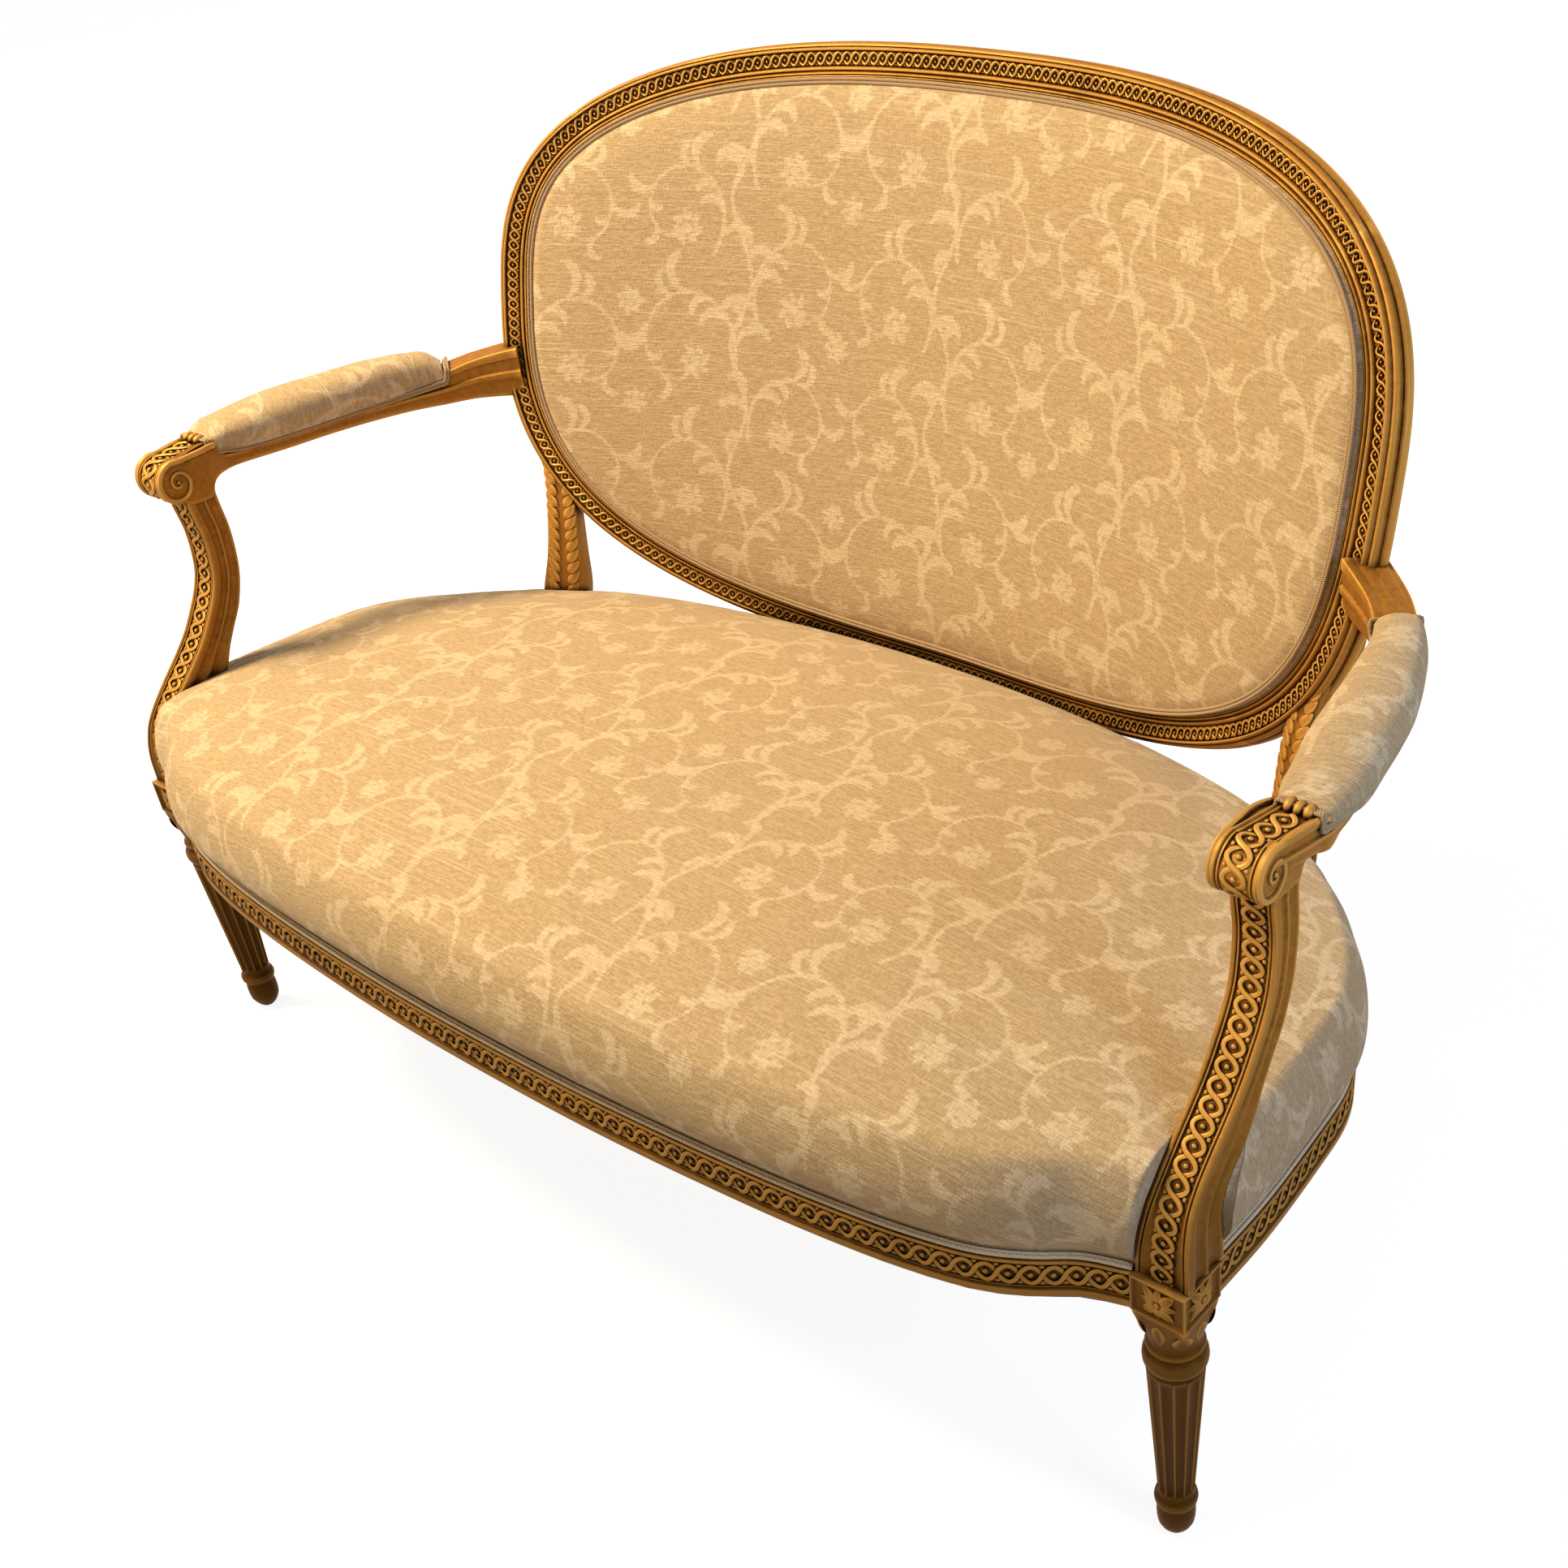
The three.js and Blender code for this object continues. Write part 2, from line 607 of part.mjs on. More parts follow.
const addBackFrame = () => {
  const dowelHoles = [...backJoints.map(angle => jointTongue(angle, gap)), armDowel(gap), mirrored(armDowel(gap))]
  const screwHole = screw(postScrewHead, postScrewTip, gap, screwLength)
  for (const { name, angles } of frameLengths) {
    const bare = cut(toSolid(frameLength(frameOutline, trimmedEnds(angles))), ...dowelHoles)
    const solid = bare.subtract(screwHole).subtract(toSolid(mirrored(fromSolid(screwHole))))
    addPiece(name, fromSolid(solid), gilt)
  }
  backJoints.forEach((angle, i) => addPiece(`back_joint_tongue_${i + 1}`, jointTongue(angle, 0), beech))
  addPair('arm_dowel', armDowel(0), beech)
  addPair('back_post_screw', fromSolid(screw(postScrewHead, postScrewTip, 0, 0)), steel)
}

// Arms: from the scrolled knuckle over the support to the oval frame.

const armEndX = backHalfWidth + frameOuterStep
const armEndY = rearLegY + armEndSetback
// Along, drop inwards, rise of the top, depth of the wood and its width.
const armShares = [
  [0, 0, 0.2, 1.1, 1.08], [0.13, -0.09, 0.24, 1.2, 1.04], [0.25, -0.07, 0.02, 0.97, 1], [0.365, 0.01, 0.02, 0.95, 1],
  [0.52, 0.11, 0.06, 0.95, 1], [0.66, 0.235, 0.13, 1, 1], [0.775, 0.37, 0.22, 1.1, 1], [0.85, 0.51, 0.36, 1.25, 1],
  [0.94, 0.75, 0.7, 1.55, 1.02], [1, 1, 0.95, 1.8, 1.05], [1.03, 1.13, 1.05, 1.9, 1.05],
]
const armAt = armShares.map(([along, drop, rise, depth, width]) => ({
  place: new THREE.Vector3(
    lerp(frontLegX + 2 * gap, armEndX, drop), lerp(knuckleY, armEndY, along), armTopZ + rise * armEndRise),
  depth: depth * armHeight,
  width: width * armWidth,
}))
const armPath = new THREE.CatmullRomCurve3(armAt.map(({ place }) => place), false, 'centripetal')

// The path's place, sideways direction, wood depth and width at a given y.
const armSection = y => {
  const last = armAt.length - 1
  let low = 0
  let high = 1
  for (let step = 0; step < 40; step++) {
    const middle = (low + high) / 2
    if (armPath.getPoint(middle).y < y) low = middle
    else high = middle
  }
  const place = armPath.getPoint(low)
  const tangent = armPath.getTangent(low)
  const side = new THREE.Vector3(tangent.y, -tangent.x, 0).normalize()
  const cell = Math.min(Math.floor(low * last), last - 1)
  const share = low * last - cell
  return {
    place,
    side,
    depth: lerp(armAt[cell].depth, armAt[cell + 1].depth, share),
    width: lerp(armAt[cell].width, armAt[cell + 1].width, share),
  }
}

const armOutline = [
  [-0.5, 0], [0.5, 0], [0.5, 0.55], [0.42, 0.65], [0.42, 0.82], [0.3, 1],
  [-0.3, 1], [-0.42, 0.82], [-0.42, 0.65], [-0.5, 0.55],
].map(([across, down]) => new THREE.Vector2(across, -down))

// Along, width and height of the pad on the arm.
const padShares = [
  [0, 0.6, 0.15], [0.03, 0.74, 0.4], [0.12, 0.9, 0.72], [0.22, 0.97, 0.9], [0.36, 1, 1], [0.5, 0.98, 1],
  [0.62, 0.9, 1], [0.77, 0.78, 0.97], [0.88, 0.67, 0.85], [0.97, 0.58, 0.55], [1, 0.54, 0.2],
]
const padStations = padShares.map(([along]) => lerp(padFrontY, padRearY, along))
const armEndsAt = armAt.at(-1).place.y - gap
const endShares = [0.3, 0.6, 0.8, 1]
const gimpReach = gimpWidth + 2 * gap
const armStations = [
  knuckleY, (knuckleY + padFrontY) / 2, padFrontY - gimpReach, ...padStations, padRearY + gimpReach, ...endShares.map(share => lerp(padRearY, armEndsAt, share)),
]
const armBody = grow => {
  const rings = armStations.map(y => {
    const { place, side, depth, width } = armSection(y)
    return armOutline.map(p => place.clone()
      .addScaledVector(side, p.x * (width + 2 * grow))
      .add(new THREE.Vector3(0, 0, p.y * (depth + 2 * grow) + grow)))
  })
  return loft(rings, armOutline)
}
const knuckle = grow => new THREE.CylinderGeometry(knuckleRadius + grow, knuckleRadius + grow, knuckleWidth + 2 * grow, 20)
  .rotateZ(Math.PI / 2).translate(frontLegX, knuckleY, knuckleZ)
const voluteEye = () => new THREE.CylinderGeometry(knuckleRadius * 0.3, knuckleRadius * 0.3, knuckleWidth * 1.1, 10)
  .rotateZ(Math.PI / 2).translate(frontLegX, knuckleY, knuckleZ)

const addArms = () => {
  const arm = cut(join(armBody(0), knuckle(0), voluteEye()), supportTopTenon(gap), rightStileCutter(), armDowel(gap))
  addPair('arm_rail', fromSolid(arm), gilt)
  const shaft = cut(toSolid(supportBody()), armBody(gap), knuckle(gap))
  const whole = shaft.add(toSolid(supportTopTenon(0))).add(toSolid(supportTenon(0)))
  addPair('arm_support', fromSolid(whole), gilt)
}

// Arm pads, which sit astride the arms.

// Across as shares of the pad's width and up as shares of its height, over one side of the arm.
const padSideShares = [[0.43, 0], [0.5, 0.2], [0.47, 0.55], [0.3, 0.88]]
const armHalf = section => section.width / 2

const armPad = () => {
  const rings = padShares.map(([, width, height], i) => {
    const section = armSection(padStations[i])
    const inner = armHalf(section) + gap
    const side = padSideShares.map(([across, up]) => [
      Math.max(inner + gimpHeight, across * width * padWidth), up * height * padHeight,
    ])
    const half = [[inner, -padSkirt], [inner + gimpHeight, -padSkirt], ...side]
    const outline = [...half, [0, height * padHeight], ...half.map(([x, z]) => [-x, z]).reverse(), [-inner, gap], [inner, gap]]
    return outline.map(([x, z]) => section.place.clone()
      .addScaledVector(section.side, x).add(new THREE.Vector3(0, 0, z)))
  })
  const middle = armSection(padStations[0])
  return loft(rings, rings[0].map(p => p.clone().sub(middle.place)).map(p => new THREE.Vector2(p.dot(middle.side), p.z)))
}

// The gimp runs along the lower edge of the pad on both sides of the arm and over the arm at each
// end. Its section is given by how far it lies from the pad and how far it stands off the wood.
const padGimpOutline = [
  [gap, gap], [gimpWidth, gap], [gimpWidth, gimpHeight * 0.8], [gimpWidth / 2, gimpHeight * 0.5], [gap, gimpHeight * 0.8],
]
const armPadGimp = () => {
  const down = new THREE.Vector3(0, 0, -1)
  const up = new THREE.Vector3(0, 0, 1)
  const ring = (place, away, off) => padGimpOutline.map(([far, high]) => place.clone()
    .addScaledVector(away, far).addScaledVector(off, high))
  const sections = padStations.map(y => armSection(y))
  const edge = (section, way, drop) => section.place.clone()
    .addScaledVector(section.side, way * armHalf(section)).addScaledVector(down, drop)
  const outwards = (section, way) => section.side.clone().multiplyScalar(way)
  // At an end the band turns up the side of the arm and folds over its top edge.
  const corner = (section, way, end) => {
    const along = armSection(section.place.y + end * gimpReach).place.sub(section.place).normalize()
    const off = outwards(section, way)
    return [
      ring(edge(section, way, padSkirt), down.clone().add(along), off),
      ring(edge(section, way, 0), along, off.clone().add(up)),
    ]
  }
  const stretch = way => sections.slice(1, -1).map(section =>
    ring(edge(section, way, padSkirt), down, outwards(section, way)))
  const [front, rear] = [sections[0], sections.at(-1)]
  return closedLoop([
    ...stretch(1), ...corner(rear, 1, 1), ...corner(rear, -1, 1).reverse(),
    ...stretch(-1).reverse(), ...corner(front, -1, -1), ...corner(front, 1, -1).reverse(),
  ])
}

const addArmPads = () => {
  addPair('arm_pad', armPad(), damask)
  addPair('arm_pad_gimp', armPadGimp(), cord)
}

// Seat upholstery.

// The rails' outline in plan, moved inwards by the inset.
const railTopOutline = inset => {
  const edge = (curve, count, ends) => stationsAlong(curve, count, ends)
    .map(({ place, normal }) => new THREE.Vector2(place.x - normal.x * inset, place.y - normal.y * inset))
  const side = edge(sideOuter, sideRailSteps, sideEnds)
  return [
    ...edge(frontOuter, frontRailSteps, frontEnds),
    ...side,
    ...edge(backOuter, backRailSteps, backEnds),
    ...side.map(p => new THREE.Vector2(-p.x, p.y)).reverse(),
  ]
}

const seatMiddleY = (frontLegY + rearLegY) / 2
// Height above the rails and inset from their faces, then the share of the way to the middle.
const gimpSeat = gimpWidth + 2 * gimpInset
const padRings = [
  [gap, gimpSeat], [gimpHeight + 2 * gap, gimpSeat], [seatWall * 0.3, -seatBulge],
  [seatWall * 0.62, -seatBulge * 0.8], [seatWall * 0.85, 0.5 * seatBulge], [seatWall, 2.6 * seatBulge],
]
const crownShares = [[0.14, 0.4], [0.36, 0.76], [0.66, 0.96]]

// The wall is lower at the back, where the bottom rail of the oval frame comes down to it.
const wallAt = y => 1 - seatRearDrop * THREE.MathUtils.smoothstep(y, seatDropStartY, seatDropEndY)

const seatPadBody = () => {
  const lifted = (p, up) => new THREE.Vector3(p.x, p.y, railTopZ + up)
  const rings = padRings.map(([up, inset]) => railTopOutline(inset)
    .map(p => lifted(p, up > 2 * gimpHeight ? up * wallAt(p.y) : up)))
  const rim = railTopOutline(padRings.at(-1)[1])
  for (const [inwards, rise] of crownShares) {
    rings.push(rim.map(p => {
      const place = new THREE.Vector2(p.x * (1 - inwards), lerp(p.y, seatMiddleY, inwards))
      return lifted(place, lerp(seatWall * wallAt(p.y), seatCrown, rise))
    }))
  }
  return dome(
    new THREE.Vector3(0, seatMiddleY, railTopZ + gap),
    rings,
    new THREE.Vector3(0, seatMiddleY, railTopZ + seatCrown),
  )
}

// Everything outside and in front of an arm support, up past the seat.
const farOut = 2 * frontLegX
const supportCutter = () => loft(supportShares.map(share => {
  const { z, back } = supportPlace(share)
  const inner = frontLegX - supportHalfWidth - gap
  return squareOutline.map(p => new THREE.Vector3(
    p.x < 0 ? inner : farOut, p.y < 0 ? -farOut : back + gap, z === railTopZ ? z - overrun : z))
}), squareOutline)
// Each back post with the room outside it.
const postCutter = () => postLoft(gap, 2 * blockSize)

const addSeatPad = () => {
  const corners = [supportCutter(), postCutter()]
  const pad = cut(
    toSolid(seatPadBody()),
    ...corners, ...corners.map(mirrored), ...allFrameCutters(),
  )
  addPiece('seat_pad', fromSolid(pad), damask)
}

// The gimp is a low double-rounded band on top of the rails.
const gimpOutline = [[-1, 0], [1, 0], [0.7, 1], [0, 0.6], [-0.7, 1]]
  .map(([across, up]) => new THREE.Vector2(across * gimpWidth / 2, up * gimpHeight))
const gimpMiddle = gimpWidth / 2 + gimpInset

const railGimp = (curve, count, ends) => loft(
  stationsAlong(curve, count, ends).map(({ place, normal }) => gimpOutline.map(p => place.clone()
    .addScaledVector(normal, p.x - gimpMiddle)
    .setZ(railTopZ + p.y))),
  gimpOutline,
)

const addSeatGimps = () => {
  addPiece('seat_gimp_front', railGimp(frontOuter, frontRailSteps, frontEnds), cord)
  addPiece('seat_gimp_back', railGimp(backOuter, backRailSteps, backEnds), cord)
  const side = cut(toSolid(railGimp(sideOuter, sideRailSteps, sideEnds)), supportCutter())
  addPair('seat_gimp_side', fromSolid(side), cord)
}

// Under the seat pad: webbing and hessian in the rebate, a dust cover below the rails.

const blockRoom = () => {
  const half = blockHalf + gap
  return box(-half, half, -half, half, blockBottomZ - neckDrop, railTopZ + gap)
}
const allBlockRooms = () => [blockRoom().translate(frontLegX, frontLegY, 0), atRearLeg(blockRoom())]
  .flatMap(room => [room, mirrored(room)])

const seatSheet = (inset, bottom, top) => {
  const outline = railTopOutline(inset)
  const rings = [bottom, top].map(z => outline.map(p => new THREE.Vector3(p.x, p.y, z)))
  return cut(toSolid(loft(rings, outline)), ...allBlockRooms())
}

const sheetInset = railThickness - rebateWidth + gap
const webBottom = railTopZ - rebateDepth + gap
const hessianTop = railTopZ - gap
const pitchedBands = (count, reach, makeBand) => Array.from({ length: count }, (_, i) =>
  makeBand(lerp(-reach, reach, (i + 0.5) / count)))
const onlyWithin = (solid, bands) => solid.intersect(join(...bands))

const addSeatBase = () => {
  const bands = [
    ...pitchedBands(crossWebs, seatDepth * 0.65, y => boxAt(0, seatMiddleY + y, railTopZ, farOut, webWidth, railHeight)),
    ...pitchedBands(seatWebs, frontSpan, x => boxAt(x, 0, railTopZ, webWidth, farOut, railHeight)),
  ]
  const webs = onlyWithin(seatSheet(sheetInset, webBottom, webBottom + webThickness), bands)
  addPiece('seat_webbing', fromSolid(webs), jute)
  addPiece('seat_hessian', fromSolid(seatSheet(sheetInset, hessianTop - clothThickness, hessianTop)), hessian)
  const coverTop = railBottomZ - gap
  addPiece('dust_cover', fromSolid(seatSheet(clothInset, coverTop - clothThickness, coverTop)), blackCloth)
}

// Glue blocks in the front corners of the seat frame, each with a screw into the leg.

const cornerBase = railBottomZ + gimpHeight
const cornerX = sideStartX - railThickness
const cornerY = frontFaceY + railThickness
const cornerOutline = [
  [frontSpan - cornerBlockSize, cornerY + gap], [frontSpan - gap, cornerY + gap], [frontSpan - gap, sideStartY + gap],
  [cornerX - gap, sideStartY + gap], [cornerX - cornerEase, sideStartY + cornerBlockSize],
].map(([x, y]) => new THREE.Vector2(x, y))

const cornerBody = () => loft([cornerBase, cornerBase + cornerBlockHeight]
  .map(z => cornerOutline.map(p => new THREE.Vector3(p.x, p.y, z))), cornerOutline)

const cornerScrew = grow => {
  const middle = cornerOutline[0].clone().add(cornerOutline.at(-1)).divideScalar(2)
  const z = cornerBase + cornerBlockHeight / 2
  const head = new THREE.Vector3(middle.x, middle.y, z)
  const aim = new THREE.Vector3(frontSpan, sideStartY, z).sub(head).normalize()
  head.addScaledVector(aim, -gap)
  return screw(head, head.clone().addScaledVector(aim, screwLength), grow, 0)
}

const addCornerBlocks = () => {
  addPair('corner_block', fromSolid(toSolid(cornerBody()).subtract(cornerScrew(gap))), beech)
  addPair('corner_screw', fromSolid(cornerScrew(0)), steel)
}

// Back upholstery.

const panelMiddle = new THREE.Vector2(0, (backRiseAbove - backDropBelow) / 2)
const panelPoint = (angle, [out, share, depth]) => onBackSurface(
  panelMiddle.clone().lerp(ovalPlan(angle, out), share), depth)

// A body between two skins. Each skin is a list of rings from the middle outwards, and each ring
// is the outline moved in by an amount, drawn towards the middle by a share, at a depth.
const backPanel = (rearSkin, frontSkin, angles) => {
  const count = angles.length
  const points = []
  const faces = []
  const lastRings = [rearSkin, frontSkin].map((skin, side) => {
    const first = points.length
    points.push(onBackSurface(panelMiddle, skin[0][2]), ...skin.flatMap(ring =>
      angles.map(angle => panelPoint(angle, ring))))
    const skinFaces = angles.map((_, i) => [first, first + 1 + (i + 1) % count, first + 1 + i])
    for (let r = 0; r < skin.length - 1; r++) {
      skinFaces.push(...ringFaces(first + 1 + r * count, first + 1 + (r + 1) * count, count))
    }
    faces.push(...(side ? skinFaces.map(([a, b, c]) => [a, c, b]) : skinFaces))
    return points.length - count
  })
  return geometryFrom(points, [...faces, ...ringFaces(lastRings[0], lastRings[1], count)])
}

// The inner rings all lie at the same shares, so that layers stay parallel.
const innerShares = [0.4, 0.75]
const skinAt = (out, depth) => [
  ...innerShares.map(share => [frameBackEdge - layerGap, share, depth]),
  [frameBackEdge - layerGap, 1, depth], [out, 1, depth],
]
const backSheet = (out, front, rear, angles) => backPanel(skinAt(out, rear), skinAt(out, front), angles)
const webAngles = frameAngles.filter((_, i) => i % 2 === 0)

const webRear = backLedge - gap
const webFront = webRear - webThickness
const padRear = webFront - 3 * layerGap
const panelOut = frameInner - layerGap
const padEdge = frameInner - gap
const gimpEdge = padEdge - gimpWidth
const padFold = gimpEdge - gimpWidth
const padFrontSkin = [
  [padFold, 0.32, -panelCrown], [padFold, 0.65, -panelCrown * 0.92], [padFold, 0.88, -panelCrown * 0.72],
  [padFold, 1, -panelCrown * 0.42], [gimpEdge - gap, 1, -panelCrown * 0.2], [gimpEdge - gap, 1, 0], [padEdge, 1, 0],
]

const backGimp = () => closedLoop(frameAngles.map(angle => gimpOutline.map(p =>
  backPoint(angle, padEdge - gimpWidth / 2 + p.x, -gap - p.y))))

const addBackUpholstery = () => {
  const bands = [
    ...pitchedBands(backWebs, backHalfWidth, x => boxAt(x, 0, backCentreZ, webWidth, farOut, farOut)),
    ...pitchedBands(crossWebs, backRiseAbove, z => boxAt(
      0, 0, backCentreZ + panelMiddle.y + z, farOut, farOut, webWidth)),
  ]
  addPiece('back_webbing', fromSolid(onlyWithin(toSolid(backSheet(panelOut, webFront, webRear, webAngles)), bands)), jute)
  addPiece('back_pad', backPanel(skinAt(padEdge, padRear), padFrontSkin, frameAngles), damask)
  addPiece('back_gimp', backGimp(), cord)
  const outsideFront = rearLedge + layerGap
  const outside = backSheet(rearRebate - layerGap, outsideFront, outsideFront + clothThickness, frameAngles)
  addPiece('outside_back', outside, damask)
}

addSeatRails()
addLegs()
addCornerBlocks()
addArms()
addArmPads()
addBackFrame()
addBackUpholstery()
addSeatBase()
addSeatPad()
addSeatGimps()

export default settee
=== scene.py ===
import json
import math
import bpy
import numpy as np
from mathutils import Matrix, Vector

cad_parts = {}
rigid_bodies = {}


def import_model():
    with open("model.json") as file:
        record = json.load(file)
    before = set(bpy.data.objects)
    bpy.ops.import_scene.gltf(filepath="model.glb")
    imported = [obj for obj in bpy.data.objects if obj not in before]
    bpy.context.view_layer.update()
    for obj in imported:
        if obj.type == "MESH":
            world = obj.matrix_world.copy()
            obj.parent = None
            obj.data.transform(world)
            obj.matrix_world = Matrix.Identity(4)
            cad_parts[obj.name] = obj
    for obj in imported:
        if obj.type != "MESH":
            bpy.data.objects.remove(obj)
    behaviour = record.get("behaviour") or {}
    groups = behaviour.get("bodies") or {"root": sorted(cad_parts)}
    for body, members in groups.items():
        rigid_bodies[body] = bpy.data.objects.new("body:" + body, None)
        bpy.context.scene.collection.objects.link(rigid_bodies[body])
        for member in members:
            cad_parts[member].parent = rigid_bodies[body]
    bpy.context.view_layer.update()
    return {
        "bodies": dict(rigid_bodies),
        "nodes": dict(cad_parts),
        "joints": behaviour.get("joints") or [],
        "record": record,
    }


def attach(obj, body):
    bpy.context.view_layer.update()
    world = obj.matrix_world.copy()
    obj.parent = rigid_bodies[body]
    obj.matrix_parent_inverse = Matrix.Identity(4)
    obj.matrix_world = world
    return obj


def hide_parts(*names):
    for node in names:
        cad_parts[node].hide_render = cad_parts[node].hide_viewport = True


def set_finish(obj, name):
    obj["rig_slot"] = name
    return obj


print("loading the frame")
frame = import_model()
nodes = frame["nodes"]

# Helpers. Sizes are millimetres until a mesh is made.


def deselect():
    if bpy.context.object and bpy.context.object.mode != "OBJECT":
        bpy.ops.object.mode_set(mode="OBJECT")
    bpy.ops.object.select_all(action="DESELECT")


def pick(piece):
    deselect()
    piece.select_set(True)
    bpy.context.view_layer.objects.active = piece


def recalculate(piece):
    pick(piece)
    bpy.ops.object.mode_set(mode="EDIT")
    bpy.ops.mesh.select_all(action="SELECT")
    bpy.ops.mesh.normals_make_consistent(inside=False)
    bpy.ops.object.mode_set(mode="OBJECT")


def lerp(a, b, t):
    return a + (b - a) * t


def smoothstep(a, b, x):
    t = np.clip((x - a) / (b - a), 0, 1)
    return t * t * (3 - 2 * t)


def unit(vectors):
    return vectors / np.maximum(np.linalg.norm(vectors, axis=-1, keepdims=True), 1e-9)


def evenly(points, count):
    """count points along a polyline, in even steps"""
    steps = np.linalg.norm(np.diff(points, axis=0), axis=1)
    along = np.concatenate([[0], np.cumsum(steps)])
    wanted = np.linspace(0, along[-1], count)
    return np.stack([np.interp(wanted, along, column) for column in points.T], axis=1)


def curve(points, count, closed=False):
    """a centripetal Catmull-Rom curve through the points, in even steps"""
    p = np.asarray(points, dtype=float)
    if closed:
        p = np.vstack([p[-1:], p, p[:2]])
    else:
        p = np.vstack([2 * p[:1] - p[1:2], p, 2 * p[-1:] - p[-2:-1]])
    parts = []
    for a, b, c, d in zip(p[:-3], p[1:-2], p[2:-1], p[3:]):
        t1 = max(np.linalg.norm(b - a), 1e-6) ** 0.5
        t2 = t1 + max(np.linalg.norm(c - b), 1e-6) ** 0.5
        t3 = t2 + max(np.linalg.norm(d - c), 1e-6) ** 0.5
        t = np.linspace(t1, t2, 33)[:-1, None]
        ab = a * (t1 - t) / t1 + b * t / t1
        bc = b * (t2 - t) / (t2 - t1) + c * (t - t1) / (t2 - t1)
        cd = c * (t3 - t) / (t3 - t2) + d * (t - t2) / (t3 - t2)
        abc = ab * (t2 - t) / t2 + bc * t / t2
        bcd = bc * (t3 - t) / (t3 - t1) + cd * (t - t1) / (t3 - t1)
        parts.append(abc * (t2 - t) / (t2 - t1) + bcd * (t - t1) / (t2 - t1))
    return evenly(np.vstack(parts + [p[-2:-1]]), count)


def rounded(points, count):
    """the columns of a table, smoothed over its first column"""
    table = np.asarray(points, dtype=float)
    wanted = np.linspace(table[0, 0], table[-1, 0], count)
    out = [wanted]
    slopes = np.gradient(table[:, 1:], table[:, 0], axis=0)
    for k in range(1, table.shape[1]):
        i = np.clip(np.searchsorted(table[:, 0], wanted) - 1, 0, len(table) - 2)
        h = table[i + 1, 0] - table[i, 0]
        t = (wanted - table[i, 0]) / h
        a, b = table[i, k], table[i + 1, k]
        m, n = slopes[i, k - 1] * h, slopes[i + 1, k - 1] * h
        out.append((2 * t**3 - 3 * t**2 + 1) * a + (t**3 - 2 * t**2 + t) * m + (3 * t**2 - 2 * t**3) * b + (t**3 - t**2) * n)
    return np.stack(out, axis=1)


def loft(rings, closedAlong=False, closedRound=True, caps=True):
    """points, faces and cloth coordinates of a skin over rings of points"""
    rings = np.asarray(rings, dtype=float)
    r, s = rings.shape[:2]
    alongStep = np.linalg.norm(np.roll(rings, -1, axis=0) - rings, axis=2).mean(axis=1)
    roundStep = np.linalg.norm(np.roll(rings, -1, axis=1) - rings, axis=2).mean(axis=0)
    along = np.concatenate([[0], np.cumsum(alongStep)]) * 0.001
    around = np.concatenate([[0], np.cumsum(roundStep)]) * 0.001
    i, j = np.meshgrid(np.arange(r if closedAlong else r - 1), np.arange(s if closedRound else s - 1), indexing="ij")
    i, j = i.ravel(), j.ravel()
    nextI, nextJ = (i + 1) % r, (j + 1) % s
    quads = np.stack([i * s + j, nextI * s + j, nextI * s + nextJ, i * s + nextJ], axis=1)
    u = np.stack([along[i], along[i + 1], along[i + 1], along[i]], axis=1)
    v = np.stack([around[j], around[j], around[j + 1], around[j + 1]], axis=1)
    uvs = np.stack([u, v], axis=2).reshape(-1, 2)
    faces = quads.tolist()
    if caps and closedRound and not closedAlong:
        faces += [list(range(s))[::-1], list(range((r - 1) * s, r * s))]
        uvs = np.vstack([uvs, np.zeros((2 * s, 2))])
    return rings.reshape(-1, 3), faces, uvs


def combined(shells):
    points, faces, uvs, base = [], [], [], 0
    for shell in shells:
        points.append(shell[0])
        faces += [[corner + base for corner in face] for face in shell[1]]
        uvs.append(shell[2])
        base += len(shell[0])
    return np.vstack(points), faces, np.vstack(uvs)


def moved(shell, place):
    """the shell with its points put through a function"""
    return place(shell[0]), shell[1], shell[2]


def copies(shell, frames):
    """the shell once in each frame, whose columns are along, across, out and place"""
    points, faces, uvs = shell
    spread = np.einsum("nij,pj->npi", frames[:, :, :3], points) + frames[:, None, :, 3]
    many = [[corner + k * len(points) for corner in face] for k in range(len(frames)) for face in faces]
    return spread.reshape(-1, 3), many, np.tile(uvs, (len(frames), 1))


def taken(piece):
    """the shell of a piece made with bpy.ops, which is then deleted"""
    mesh = piece.data
    points = np.array([vertex.co[:] for vertex in mesh.vertices]) * 1000
    faces = [list(face.vertices) for face in mesh.polygons]
    uvs = np.zeros((sum(len(face) for face in faces), 2))
    pick(piece)
    bpy.ops.object.delete()
    return points, faces, uvs


def newPiece(name, shell, angle=None):
    """a piece from a shell, with its cloth coordinates in metres"""
    points, faces, uvs = shell
    mesh = bpy.data.meshes.new(name)
    mesh.from_pydata((np.asarray(points) * 0.001).tolist(), [], faces)
    layer = mesh.uv_layers.new(name="cloth")
    layer.data.foreach_set("uv", np.asarray(uvs, dtype=np.float32).ravel())
    mesh.update()
    piece = bpy.data.objects.new(name, mesh)
    bpy.context.scene.collection.objects.link(piece)
    recalculate(piece)
    if angle is None:
        bpy.ops.object.shade_smooth()
    else:
        bpy.ops.object.shade_smooth_by_angle(angle=math.radians(angle))
    return piece


